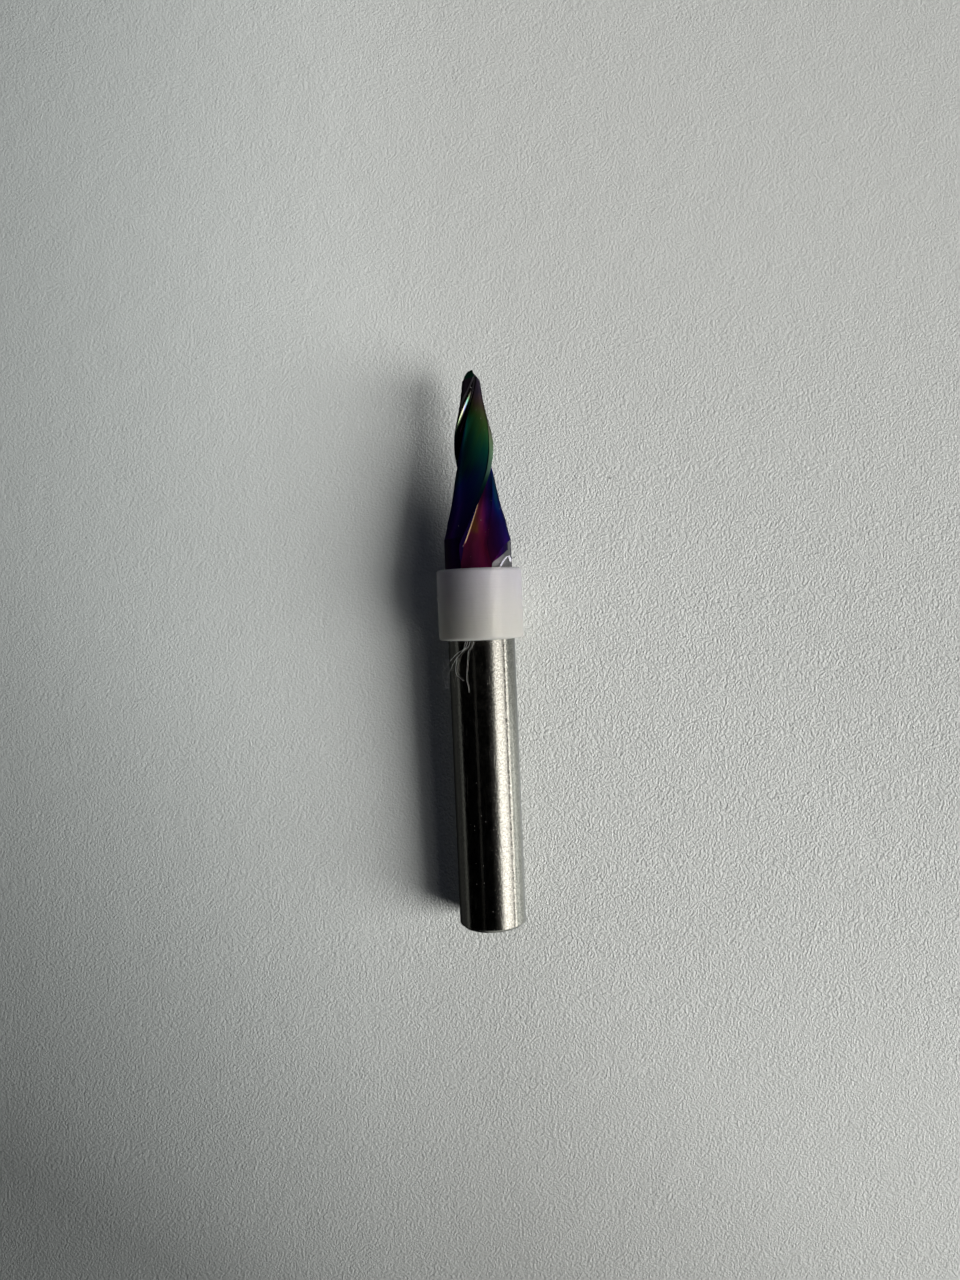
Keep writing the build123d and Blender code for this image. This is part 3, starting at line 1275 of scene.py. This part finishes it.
@dataclass
class Cutter:
    """Carbide cutter: shank, cone, two wound flutes, relieved and gashed ball end.

    Where the relief runs out over the cone's foot, it returns on the back between two angles
    behind the edge.
    """

    law: CutterLaw
    turned_facets: int = 192
    flute_facets: int = 30
    back_facets: int = 40
    land_facets: int = 3
    row_spacing: float = 0.16
    row_stretch: float = 0.030
    least_spacing: float = 0.04
    run_out_share: float = 1.1
    relief_returns: Pair = (60.0, 120.0)
    clear: float = 1.0
    ball_facets: int = 40
    sharp_angle: float = 28.0

    def tooth_outline(self, height: float) -> np.ndarray:
        """Outline of all teeth at one height.

        Args:
            height: Height of the section.

        Returns:
            An array with one row of X and Y for each point, in turn about the axis.
        """
        law = self.law
        radius = law.flute_floor(height) / law.core_share
        relief = law.between(law.relief, height)
        heel_share = law.between(law.heel_share, height)
        flute_angle = law.between(law.flute_angle, height)
        hook_offset = (1 - law.rake_share) * math.tan(math.radians(law.rake_angle))
        hook = math.degrees(math.atan(hook_offset / law.rake_share))

        def at(share: float, direction: float) -> Pair:
            """Point of the section at a radius share and a direction."""
            turn = math.radians(direction)
            return radius * share * math.cos(turn), radius * share * math.sin(turn)

        def relieved(behind: float) -> float:
            """Radius share of the relieved back, at an angle behind its edge.

            Args:
                behind: The angle in degrees.

            Returns:
                The share.
            """
            start, end = self.relief_returns
            returned = min(max((behind - start) / (end - start), 0), 1)
            left = max(law.relief_kept(height), returned)
            drop = relief * math.sin(math.radians(behind)) * left
            return math.sqrt(1 + drop**2) - drop

        runs = []
        for tooth in range(law.tooth_count):
            ahead = law.edge_direction(height) + tooth * law.pitch
            next_edge = ahead + law.pitch
            heel = at(heel_share, ahead + flute_angle)
            back = [heel]
            for share in law.back_shares:
                behind = share * (law.pitch - flute_angle)
                back.append(at(relieved(behind), next_edge - behind))
            land = at(relieved(law.land_angle), next_edge - law.land_angle)
            flute = [
                at(1 + law.edge_margin, ahead),
                at(law.rake_share, ahead - hook),
                at(law.core_share, ahead + law.gully_share * flute_angle),
                heel,
            ]
            edge = at(1 + law.edge_margin, next_edge)
            along = np.linspace(0, 1, self.land_facets, endpoint=False)[:, None]
            runs.append(curve_through(flute, law.flute_stations, self.flute_facets))
            runs.append(curve_through([*back, land], law.back_stations, self.back_facets))
            runs.append(np.array(land) * (1 - along) + np.array(edge) * along)
        return np.vstack(runs)

    def row_heights(self) -> list[float]:
        """Heights of the sections, from above the tip to where the flutes have run out.

        Returns:
            The heights, from the highest down.
        """
        law = self.law
        heights = [law.overall_length + self.clear]
        while law.flute_floor(heights[-1]) < self.run_out_share * law.shank_radius:
            step = self.row_stretch * law.cone_radius(heights[-1]) + self.least_spacing
            heights.append(heights[-1] - min(self.row_spacing, step))
        return heights

    def wind_teeth(self) -> Piece:
        """Body that the flutes and backs leave, wound round the axis from a flat grid.

        Returns:
            A closed body with the tooth surfaces marked in its material slots.
        """
        heights = self.row_heights()
        outlines = [self.tooth_outline(height) for height in heights]
        heights.append(-self.clear)
        outlines.append(outlines[-1])
        around = len(outlines[0])
        bpy.ops.object.select_all(action="DESELECT")
        bpy.ops.mesh.primitive_grid_add(
            x_subdivisions=around, y_subdivisions=len(heights) - 1, size=1
        )
        teeth = bpy.context.object
        teeth.name = "wound_teeth"
        place = coordinates(teeth)
        column = np.rint((place[:, 0] + 0.5) * around).astype(int)
        row = np.rint((place[:, 1] + 0.5) * (len(heights) - 1)).astype(int)
        stack = np.array(outlines)
        wound = np.zeros_like(place)
        wound[:, :2] = stack[row, column % around]
        wound[:, 2] = np.array(heights)[row]
        teeth.data.vertices.foreach_set("co", wound.ravel())
        self.mark_tooth_surfaces(teeth, column, around)
        with editing(teeth):
            bpy.ops.mesh.remove_doubles(threshold=MERGE_DISTANCE)
            bpy.ops.mesh.select_all(action="DESELECT")
            bpy.ops.mesh.select_non_manifold()
            bpy.ops.mesh.fill_holes(sides=0)
            face_outwards()
        return teeth

    def mark_tooth_surfaces(self, teeth: Piece, column: np.ndarray, around: int) -> None:
        """Give each facet of the wound grid the slot of its surface.

        Args:
            teeth: The grid.
            column: Column of each vertex.
            around: Facets round the axis.
        """
        self.add_slots(teeth)
        per_tooth = around // self.law.tooth_count
        for facet in teeth.data.polygons:
            columns = [int(column[vertex]) for vertex in facet.vertices]
            first = min(columns) % per_tooth
            if first < self.flute_facets:
                surface = Surface.FLUTE
            elif first < self.flute_facets + self.back_facets:
                surface = Surface.BACK
            else:
                surface = Surface.LAND
            facet.material_index = surface.value

    def add_slots(self, piece: Piece) -> None:
        """Give a piece one working material slot for each surface.

        Args:
            piece: The piece.
        """
        for surface in Surface:
            name = f"working_{surface.name.lower()}"
            material = bpy.data.materials.get(name) or bpy.data.materials.new(name)
            piece.data.materials.append(material)

    def mark_all(self, piece: Piece, surface: Surface) -> None:
        """Give all facets of a piece the slot of one surface.

        Args:
            piece: The piece.
            surface: The surface.
        """
        self.add_slots(piece)
        for facet in piece.data.polygons:
            facet.material_index = surface.value

    def turn_blank(self) -> Piece:
        """Ground rod before fluting: chamfered shank and cone, left long at the tip.

        Returns:
            The rod, with its surfaces in their working slots.
        """
        law = self.law
        top = law.overall_length + self.clear / 2
        outline = [
            (0, 0),
            (law.shank_radius - law.shank_chamfer, 0),
            (law.shank_radius, law.shank_chamfer),
            (law.shank_radius, law.cone_foot),
            (law.cone_radius(top), top),
            (0, top),
        ]
        blank = turn_on_lathe("fluted_cutter", outline, self.turned_facets)
        self.add_slots(blank)
        for facet in blank.data.polygons:
            above = facet.center.z > law.cone_foot
            facet.material_index = (Surface.CONE if above else Surface.SHANK).value
        return blank

    def turn_relief_ball(self, turn: float) -> Piece:
        """Body that one ball relief leaves: a ball off the axis, with a flared skirt.

        Args:
            turn: Direction of the edge at the ball, in degrees.

        Returns:
            The body in its place.
        """
        law = self.law
        radius = math.hypot(law.ball_radius, law.ball_relief)
        flare = math.radians(law.flare_angle)
        outline = []
        for step in range(self.ball_facets + 1):
            lift = math.pi / 2 + (flare - math.pi / 2) * step / self.ball_facets
            outline.append((radius * math.cos(lift), law.ball_height + radius * math.sin(lift)))
        outline[0] = (0, law.ball_height + radius)
        reach = 2 * law.shank_radius
        seam_radius, seam_height = outline[-1]
        skirt = seam_height - (reach - seam_radius) / math.tan(flare)
        outline += [(reach, skirt), (reach, -self.clear), (0, -self.clear)]
        ball = turn_on_lathe("relief_ball", outline, self.turned_facets // 2)
        self.mark_all(ball, Surface.CROWN)
        self.put(ball, (0, law.ball_relief, 0), turn)
        return ball

    def make_gash(self, turn: float) -> Piece:
        """Notch ahead of an edge, with a web face and a floor that falls away.

        Args:
            turn: Direction of the edge, in degrees.

        Returns:
            The notch in its place.
        """
        law = self.law
        width = 2 * law.shank_radius
        face = law.web_thickness / 2
        floor = law.overall_length - law.gash_depth
        top = law.overall_length + self.clear
        fall = width * math.tan(math.radians(law.gash_angle))
        corners = [(face, floor), (face, top), (face + width, top), (face + width, floor - fall)]
        notch = draw_line("gash", [(0, y, z) for y, z in [*corners, corners[0]]])
        with editing(notch):
            bpy.ops.mesh.remove_doubles(threshold=MERGE_DISTANCE)
            bpy.ops.mesh.edge_face_add()
            bpy.ops.mesh.extrude_region_move(TRANSFORM_OT_translate={"value": (width, 0, 0)})
            face_outwards()
        self.mark_all(notch, Surface.GASH)
        self.put(notch, (-law.gash_overlap, 0, 0), turn)
        return notch

    def put(self, piece: Piece, offset: Point, turn: float) -> None:
        """Shift a piece and then turn it about the axis, in its mesh.

        Args:
            piece: The piece.
            offset: The shift.
            turn: The turn in degrees.
        """
        shift = Matrix.Translation(offset)
        piece.data.transform(Matrix.Rotation(math.radians(turn), 4, "Z") @ shift)

    def grind(self) -> Piece:
        """Cut the cutter from its blank.

        Returns:
            The cutter in millimetres, with its surfaces in their working slots.
        """
        law = self.law
        cutter = self.turn_blank()
        at_tip = law.edge_direction(law.overall_length)
        for tooth in range(law.tooth_count):
            cut(cutter, self.turn_relief_ball(at_tip + tooth * law.pitch), Cut.KEEP_COMMON)
        cut(cutter, self.wind_teeth(), Cut.KEEP_COMMON)
        for tooth in range(law.tooth_count):
            turn = at_tip + tooth * law.pitch - law.gash_turn
            cut(cutter, self.make_gash(turn), Cut.TAKE_AWAY)
        return cutter

    def sharpen(self, cutter: Piece) -> None:
        """Shade smooth, but for the borders of the surfaces and the ground corners.

        Args:
            cutter: The cutter.
        """
        activate(cutter)
        bpy.ops.object.shade_smooth_by_angle(angle=math.radians(self.sharp_angle))
        sides: dict[tuple[int, int], set[int]] = {}
        for facet in cutter.data.polygons:
            for key in facet.edge_keys:
                sides.setdefault(key, set()).add(facet.material_index)
        for edge in cutter.data.edges:
            if len(sides.get(edge.key, ())) > 1:
                edge.use_edge_sharp = True

    def dress(self, cutter: Piece) -> None:
        """Put a finish on each surface.

        Args:
            cutter: The cutter.
        """
        surfaces = [facet.material_index for facet in cutter.data.polygons]
        cutter.data.materials.clear()
        for material in carbide_finishes(self.law):
            cutter.data.materials.append(material)
        for facet, surface in zip(cutter.data.polygons, surfaces):
            facet.material_index = surface

    def build(self) -> Piece:
        """Make the finished cutter.

        Returns:
            The cutter, which stands for its CAD node.
        """
        cutter = self.grind()
        self.sharpen(cutter)
        self.dress(cutter)
        finish_in_metres(cutter)
        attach(cutter, "root")
        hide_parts("end_mill")
        return cutter


@dataclass
class DepthRing:
    """White moulded ring, pressed on the shank, with rounded rims."""

    bore_radius: float
    outer_radius: float
    bottom: float
    top: float
    facets: int = 192
    rim_round: float = 0.32
    lead_in: float = 0.15
    grip: float = 0.004
    rim_steps: int = 6
    sharp_angle: float = 35.0

    def outline(self) -> list[Pair]:
        """Closed outline of the wall, with its outer rims rounded.

        Returns:
            Pairs of radius and height.
        """
        corner_in = self.outer_radius - self.rim_round
        quarter = []
        for step in range(self.rim_steps + 1):
            turn = math.pi / 2 * step / self.rim_steps
            radius = corner_in + self.rim_round * math.sin(turn)
            quarter.append((radius, self.rim_round * (1 - math.cos(turn))))
        bore = self.bore_radius - self.grip
        mouth = self.bore_radius + self.lead_in
        return [
            (mouth, self.bottom),
            *((radius, self.bottom + along) for radius, along in quarter),
            *((radius, self.top - along) for radius, along in reversed(quarter)),
            (mouth, self.top),
            (bore, self.top - self.lead_in),
            (bore, self.bottom + self.lead_in),
            (mouth, self.bottom),
        ]

    def build(self) -> Piece:
        """Make the finished ring.

        Returns:
            The ring, which stands for its CAD node.
        """
        ring = turn_on_lathe("rounded_depth_ring", self.outline(), self.facets)
        activate(ring)
        bpy.ops.object.shade_smooth_by_angle(angle=math.radians(self.sharp_angle))
        ring.data.materials.append(MouldedNylon().make(self.bottom, self.top))
        finish_in_metres(ring)
        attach(ring, "root")
        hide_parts("depth_ring")
        return ring


@dataclass(frozen=True)
class ShedNylon:
    """Dull white of the shavings and fibres that the ring shed."""

    name: str
    colour: Colour
    dirt: Colour
    roughness: float = 0.55

    def make(self) -> Material:
        """Make the material.

        Returns:
            The material.
        """
        material, sheet, shader = new_material(self.name)
        spot = sheet.millimetres()
        clouds = sheet.rescale(sheet.noise(spot, 3.0, 3.0), (0.35, 0.7))
        feeds = {
            "Base Color": sheet.mix(clouds, self.colour, self.dirt),
            "Roughness": sheet.line(clouds, 0.2, self.roughness),
        }
        sheet.feed(shader, feeds)
        sheet.bump(shader, sheet.noise(spot, 16.0, 2.0), 0.4, 0.01)
        return material


@dataclass
class RingShavings:
    """Fine fibres that hang out of the ring's lower end, and a curled shaving on its upper."""

    fibre_radius: float = 0.011
    hair_radius: float = 0.04
    shaving_side: Point = (0.22, 0.06, 0.02)
    shaving_thickness: float = 0.03
    curve_steps: int = 5
    soft_levels: int = 2

    def fibre_lines(self) -> list[list[Point]]:
        """Points that the fibres follow, from the ring down.

        Returns:
            One list of points for each fibre.
        """
        return [
            [(-0.67, -3.23, 26.1), (-0.78, -3.16, 25.53), (-1.05, -3.02, 25.27), (-1.24, -2.9, 25.01),
             (-1.24, -2.84, 24.57), (-1.32, -2.81, 24.13), (-1.37, -2.76, 23.6), (-1.41, -2.74, 23.08),
             (-1.45, -2.74, 22.55), (-1.4, -2.76, 22.11), (-1.28, -2.8, 21.85), (-1.3, -2.77, 21.41)],
            [(-1.19, -3.08, 26.1), (-1.3, -3.03, 25.54), (-1.48, -2.89, 25.37), (-1.67, -2.67, 25.19),
             (-1.86, -2.43, 24.88)],
            [(-1.32, -2.97, 26.1), (-1.52, -2.82, 25.63), (-1.59, -2.66, 25.28)],
            [(-0.97, -3.15, 26.1), (-1.08, -3.12, 25.63), (-1.17, -3.09, 25.45), (-1.44, -2.91, 25.33),
             (-1.76, -2.67, 25.02), (-2.04, -2.46, 24.71), (-2.23, -2.37, 24.54), (-2.44, -2.3, 24.23),
             (-2.66, -2.2, 23.88), (-2.81, -2.09, 23.53), (-2.96, -1.87, 23.25), (-3.09, -1.64, 22.93),
             (-3.19, -1.43, 22.61), (-3.22, -1.24, 22.19), (-3.16, -1.26, 21.74)],
            [(-1.44, -2.91, 25.33), (-1.80, -2.65, 25.10), (-2.12, -2.4, 24.98), (-2.4, -2.27, 24.72),
             (-2.77, -2.14, 24.33), (-3.06, -1.79, 23.96), (-3.36, -1.29, 23.58), (-3.62, -0.45, 23.16),
             (-3.67, -0.35, 22.8), (-3.55, -0.5, 22.45), (-3.44, -0.88, 22.12), (-3.28, -1.21, 21.74)],
            [(-2.77, -2.14, 24.33), (-3.25, -1.43, 23.99), (-3.56, -0.61, 23.72), (-3.70, -0.4, 23.39),
             (-3.67, -0.35, 23.07)],
            [(-2.23, -2.37, 24.54), (-2.35, -2.02, 23.95), (-2.41, -1.95, 23.41), (-2.36, -2.04, 23.02),
             (-2.21, -2.24, 22.85), (-2.0, -2.4, 22.72), (-1.74, -2.52, 22.46)],
        ]

    def shaving_line(self) -> list[Point]:
        """Points that the curled shaving follows, from the ring's upper end up and over.

        Returns:
            The points.
        """
        return [
            (1.72, -2.53, 32.22), (1.95, -2.38, 32.65), (2.19, -2.19, 32.98), (2.40, -2.07, 33.22),
            (2.56, -1.93, 33.32), (2.68, -1.64, 33.10), (2.74, -1.30, 32.72),
        ]

    def spin_fibre(self, name: str, points: Sequence[Point], radius: float) -> Piece:
        """Round fibre along a smooth line.

        Args:
            name: Its name.
            points: Points that its line is drawn to.
            radius: Its radius.

        Returns:
            The fibre's mesh.
        """
        fibre = draw_line(name, points)
        activate(fibre)
        bpy.ops.object.convert(target="CURVE")
        line = fibre.data
        line.splines[0].type = "NURBS"
        line.splines[0].order_u = 4
        line.splines[0].use_endpoint_u = True
        line.resolution_u = self.curve_steps
        line.bevel_depth = radius
        line.bevel_resolution = 1
        line.use_fill_caps = True
        bpy.ops.object.convert(target="MESH")
        bpy.ops.object.shade_smooth()
        return fibre

    def build_fibres(self) -> Piece:
        """All fibres under the ring, as one piece.

        Returns:
            The finished piece.
        """
        fibres = [
            self.spin_fibre(f"fibre_{number}", points, self.fibre_radius)
            for number, points in enumerate(self.fibre_lines())
        ]
        activate(fibres[0])
        for fibre in fibres:
            fibre.select_set(True)
        bpy.ops.object.join()
        fibres[0].name = "nylon_fibres"
        finish = ShedNylon("shed_fibre", (0.72, 0.72, 0.70), (0.42, 0.42, 0.40))
        return self.hand_over(fibres[0], finish)

    def build_shaving(self) -> Piece:
        """Thin shaving, curled over in a narrow arch.

        Returns:
            The finished piece.
        """
        shaving = draw_line("curled_shaving", self.shaving_line())
        with editing(shaving):
            side = {"value": self.shaving_side}
            bpy.ops.mesh.extrude_region_move(TRANSFORM_OT_translate=side)
        shell = shaving.modifiers.new("thickness", "SOLIDIFY")
        shell.thickness = self.shaving_thickness
        shell.offset = 0
        soft = shaving.modifiers.new("soft", "SUBSURF")
        soft.levels = soft.render_levels = self.soft_levels
        apply_modifiers(shaving)
        bpy.ops.object.shade_smooth()
        finish = ShedNylon("shed_shaving", (0.80, 0.78, 0.86), (0.60, 0.60, 0.62))
        return self.hand_over(shaving, finish)

    def build_hair(self) -> Piece:
        """Dark grey fibre that sticks out beside the shaving.

        Returns:
            The finished piece.
        """
        points = [
            (2.70, -1.35, 33.02), (2.88, -0.98, 33.07), (3.04, -0.95, 33.08),
            (3.18, -0.87, 33.12), (3.32, -0.75, 33.21),
        ]
        hair = self.spin_fibre("dark_hair", points, self.hair_radius)
        return self.hand_over(hair, ShedNylon("dark_fibre", (0.24, 0.25, 0.23), (0.12, 0.12, 0.12)))

    def hand_over(self, piece: Piece, finish: ShedNylon) -> Piece:
        """Dress a piece and let it ride on the tool.

        Args:
            piece: The piece in millimetres.
            finish: Its finish.

        Returns:
            The finished piece.
        """
        piece.data.materials.append(finish.make())
        finish_in_metres(piece)
        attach(piece, "root")
        return piece

    def build(self) -> list[Piece]:
        """Make all that the ring shed."""
        return [self.build_fibres(), self.build_shaving(), self.build_hair()]


@dataclass(frozen=True)
class PhotographCamera:
    """Camera where the photograph was taken from, in millimetres and degrees.

    What it shows starts and ends at distances in metres.
    """

    place: Point = (-0.145, -86.7, 29.43)
    focal_pixels: float = 961.0
    image_height: float = 1280.0
    sensor: float = 36.0
    pitch: float = 2.334
    roll: float = 2.375
    shows: Pair = (0.001, 10.0)

    def build(self) -> None:
        """Make the camera and set it as the scene's own."""
        data = bpy.data.cameras.new("photograph_camera")
        data.sensor_width = self.sensor
        data.lens = self.sensor * self.focal_pixels / self.image_height
        data.clip_start, data.clip_end = self.shows
        camera = bpy.data.objects.new("photograph_camera", data)
        bpy.context.scene.collection.objects.link(camera)
        down = math.radians(self.pitch)
        lean = math.radians(self.roll)
        forward = Vector((0, math.cos(down), -math.sin(down)))
        right = Vector((math.cos(lean), 0, -math.sin(lean)))
        right = (right - forward * right.dot(forward)).normalized()
        up = right.cross(forward)
        turn = Matrix((right, up, -forward)).transposed()
        camera.matrix_world = Matrix.Translation(Vector(self.place) * MM) @ turn.to_4x4()
        bpy.context.scene.camera = camera


@dataclass(frozen=True)
class Outlook:
    """Where a light lies, seen from the tool, in degrees.

    The azimuth goes from the camera towards the right, the height from the horizon up.
    """

    azimuth: float
    height: float
    width_angle: float
    height_angle: float

    @property
    def toward(self) -> Vector:
        """Direction to its middle, as a vector of length 1.

        Returns:
            The direction.
        """
        side, up = math.radians(self.azimuth), math.radians(self.height)
        level = math.cos(up)
        return Vector((math.sin(side) * level, -math.cos(side) * level, math.sin(up)))

    def half_size(self, distance: float) -> Pair:
        """Half of its width and of its height at a distance.

        Args:
            distance: How far it is.

        Returns:
            The two halves.
        """
        return (
            distance * math.tan(math.radians(self.width_angle / 2)),
            distance * math.tan(math.radians(self.height_angle / 2)),
        )


@dataclass
class Studio:
    """Table top that the tool lies against in the photograph, and the soft light on it."""

    touch_low: Pair
    touch_high: Pair
    middle: Point = (0.0, 0.0, 25.0)
    table_size: float = 700.0
    gloss_gap: float = 0.05
    light_distance: float = 800.0
    gloss_tint: Colour = (0.94, 1.0, 1.0)
    pale_room: Colour = (0.62, 0.63, 0.62)
    dark_floor: Colour = (0.0015, 0.0015, 0.0018)
    dim_ceiling: Colour = (0.056, 0.063, 0.088)

    def table_top(self) -> None:
        """Pale table top that touches the shank's end and the ring."""
        table = add_plane("table_top", self.table_size * MM)
        self.lay_on_tool(table)
        table.data.materials.append(GrainedTable().make())
        table.visible_glossy = False

    def aim(self, light: Piece, outlook: Outlook, front: str) -> None:
        """Put a light in its place, with its front to the tool.

        Args:
            light: The light.
            outlook: Where it lies.
            front: The light's own axis that is its front.
        """
        away = outlook.toward * self.light_distance * MM
        light.location = Vector(self.middle) * MM + away
        light.rotation_euler = (-outlook.toward).to_track_quat(front, "Y").to_euler()

    def soft_box(self, name: str, outlook: Outlook, radiance: float) -> None:
        """Soft rectangular light for surfaces that aren't glossy.

        Args:
            name: Name of the light.
            outlook: Where it lies.
            radiance: How bright its face is.
        """
        width, height = outlook.half_size(self.light_distance * MM)
        data = bpy.data.lights.new(name, "AREA")
        data.shape = "RECTANGLE"
        data.size, data.size_y = 2 * width, 2 * height
        data.energy = radiance * math.pi * data.size * data.size_y
        light = bpy.data.objects.new(name, data)
        bpy.context.scene.collection.objects.link(light)
        light.visible_camera = False
        light.visible_glossy = False
        self.aim(light, outlook, "-Z")

    def shine(self, name: str, outlook: Outlook, across: Profile, upward: Profile) -> None:
        """Bright card that shows only in glossy surfaces.

        Args:
            name: Name of the card.
            outlook: Where it lies.
            across: Pairs of place and brightness from its left to its right side.
            upward: Pairs of place and share of that brightness from its foot to its top.
        """
        card = add_plane(name, 2)
        self.aim(card, outlook, "Z")
        card.scale = (*outlook.half_size(self.light_distance * MM), 1)
        material, sheet, shader = new_material(name)
        places = sheet.axes(sheet.add("TexCoord").outputs["UV"])
        brightest = max(value for _, value in across)
        levels = [(place, (value / brightest,) * 3) for place, value in across]
        shares = [(place, (value,) * 3) for place, value in upward]
        level = sheet.ramp(sheet.less(1.0, places[0]), levels)
        self.light_up(sheet, shader, sheet.tint(level, sheet.ramp(places[1], shares)), brightest)
        self.show_in_gloss_only(card, material)

    def light_up(self, sheet: Sheet, shader: Node, glow: Socket, strength: float) -> None:
        """Let a black surface that mirrors nothing give off light.

        Args:
            sheet: Sheet of the material.
            shader: Its shader.
            glow: Colour of the light.
            strength: Its strength.
        """
        feeds = {
            "Base Color": BLACK,
            "Specular IOR Level": 0.0,
            "Emission Color": glow,
            "Emission Strength": strength,
        }
        sheet.feed(shader, feeds)

    def show_in_gloss_only(self, card: Piece, material: Material) -> None:
        """Finish a card that the camera and all light that isn't mirrored pass through.

        Args:
            card: The card.
            material: Its material.
        """
        card.visible_camera = False
        card.visible_diffuse = False
        card.visible_shadow = False
        card.visible_transmission = False
        card.data.materials.append(material)

    def table_in_gloss(self) -> None:
        """Glowing card under the table top, a painted reflection of it that glossy surfaces show."""
        card = add_plane("table_in_gloss", 2 * self.table_size * MM)
        with editing(card):
            bpy.ops.transform.translate(value=(0, 0, -self.gloss_gap * MM))
        self.lay_on_tool(card)
        material, sheet, shader = new_material("table_in_gloss")
        axes = sheet.axes(sheet.millimetres())

        # Painted table far from the window's sheen, painted sheen, and painted shadow behind the tool
        even = (
            (-60.0, 0.11), (-30.0, 0.08), (-20.0, 0.03), (-8.0, 0.032), (-4.5, 0.004), (0.0, 0.0),
            (4.0, 0.36), (60.0, 0.36),
        )
        sheen = (
            (4.0, 0.5), (13.0, 0.75), (17.0, 1.2), (25.0, 1.35), (32.0, 0.5), (45.0, 0.4),
            (60.0, 1.2),
        )
        # Painted light behind the shank, under the ring
        behind = ((-2.9, 0.0), (-2.2, 0.3), (2.2, 0.3), (2.9, 0.0))
        low = sheet.rescale(axes[2], (24.0, 10.0))
        share = sheet.times(low, sheet.math("GREATER_THAN", axes[0], 4.0))
        glow = sheet.between(share, sheet.profile(axes[0], even), sheet.profile(axes[0], sheen))
        under_ring = sheet.rescale(axes[2], (27.0, 25.0))
        glow = sheet.line(sheet.profile(axes[0], behind), under_ring, glow)
        self.light_up(sheet, shader, sheet.tint(sheet.grey(glow), self.gloss_tint), 1.0)
        self.show_in_gloss_only(card, material)

    def lay_on_tool(self, board: Piece) -> None:
        """Lean a level board against the back of the shank's end and of the ring.

        Args:
            board: The board.
        """
        run = self.touch_high[1] - self.touch_low[1]
        rise = self.touch_high[0] - self.touch_low[0]
        board.rotation_euler = (math.pi / 2 - math.atan2(rise, run), 0, 0)
        board.location = (0, self.touch_low[0] * MM, self.touch_low[1] * MM)
        activate(board)
        bpy.ops.object.transform_apply(location=True, rotation=True, scale=True)

    def lights(self) -> None:
        """Window to the right of the photographer, low over the table, and its curtain."""
        self.soft_box("window", Outlook(57.0, -14.5, 40.0, 31.0), 11.0)
        self.soft_box("curtain", Outlook(31.0, -14.5, 12.0, 31.0), 1.6)
        window = (
            (0.0, 0.0), (0.24, 0.06), (0.36, 0.4), (0.43, 1.7), (0.49, 2.4), (0.72, 2.7),
            (0.79, 2.1), (0.955, 1.7), (0.985, 0.4), (1.0, 0.4),
        )
        sill = ((0.0, 0.0), (0.2, 4.8), (0.8, 4.8), (1.0, 0.0))
        gap = ((0.0, 0.12), (1.0, 0.12))
        fade = ((0.0, 0.7), (0.15, 1.0), (0.75, 1.0), (0.92, 0.6), (1.0, 0.1))
        steady = ((0.0, 1.0), (1.0, 1.0))
        self.shine("bright_window", Outlook(45.0, -14.5, 66.0, 37.0), window, fade)
        self.shine("window_sill", Outlook(87.5, -10.0, 4.4, 40.0), sill, steady)
        self.shine("door_gap", Outlook(-30.0, -8.0, 1.6, 24.0), gap, fade)

    def room(self) -> None:
        """Dim room round the tool, which is pale where the camera sees it."""
        world = bpy.data.worlds.new("dim_room")
        world.use_nodes = True
        sheet = Sheet(world.node_tree)
        direction = sheet.axes(sheet.add("TexCoord").outputs["Generated"])
        ceiling = sheet.rescale(direction[2], (0.0, 0.7))
        dim = sheet.mix(ceiling, self.dark_floor, self.dim_ceiling)
        walls = (
            (-180.0, 0.2), (-130.0, 0.13), (-100.0, 0.12), (-85.0, 0.05), (-55.0, 0.045),
            (-23.0, 0.07), (0.0, 0.10), (24.0, 0.14), (50.0, 0.15), (75.0, 0.20), (90.0, 0.30),
            (180.0, 0.2),
        )
        back = sheet.times(direction[1], -1.0)
        azimuth = sheet.times(sheet.math("ARCTAN2", direction[0], back), 180 / math.pi)
        over_table = sheet.rescale(direction[2], (0.10, 0.28), (0.0015, 1.0))
        mirrored = sheet.grey(sheet.times(over_table, sheet.profile(azimuth, walls)))
        path = sheet.add("LightPath").outputs
        light = sheet.mix(path["Is Glossy Ray"], dim, mirrored)
        seen = sheet.mix(path["Is Camera Ray"], light, self.pale_room)
        sheet.feed(world.node_tree.nodes["Background"], {"Color": seen})
        bpy.context.scene.world = world

    def build(self) -> None:
        """Set up the table, the lights and the dim room."""
        self.table_top()
        self.table_in_gloss()
        self.lights()
        self.room()
        bpy.context.scene.view_settings.view_transform = "Standard"


def main() -> None:
    """Build the tool round its frame, piece by piece."""
    logging.basicConfig(level=logging.INFO, format="%(message)s")
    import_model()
    low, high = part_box("end_mill")
    ring_low, ring_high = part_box("depth_ring")
    law = CutterLaw(
        shank_radius=high.y / MM,
        overall_length=(high.z - low.z) / MM,
        ring_top=ring_high.z / MM,
    )
    cutter = Cutter(law).build()
    LOG.info("cutter: %d facets", len(cutter.data.polygons))
    ring = DepthRing(
        bore_radius=law.shank_radius,
        outer_radius=ring_high.y / MM,
        bottom=ring_low.z / MM,
        top=ring_high.z / MM,
    ).build()
    LOG.info("ring: %d facets", len(ring.data.polygons))
    for piece in RingShavings().build():
        LOG.info("%s: %d facets", piece.name, len(piece.data.polygons))
    PhotographCamera().build()
    Studio(
        touch_low=(law.shank_radius, law.shank_chamfer),
        touch_high=(ring_high.x / MM, ring_low.z / MM),
    ).build()


if __name__ == "__main__":
    main()
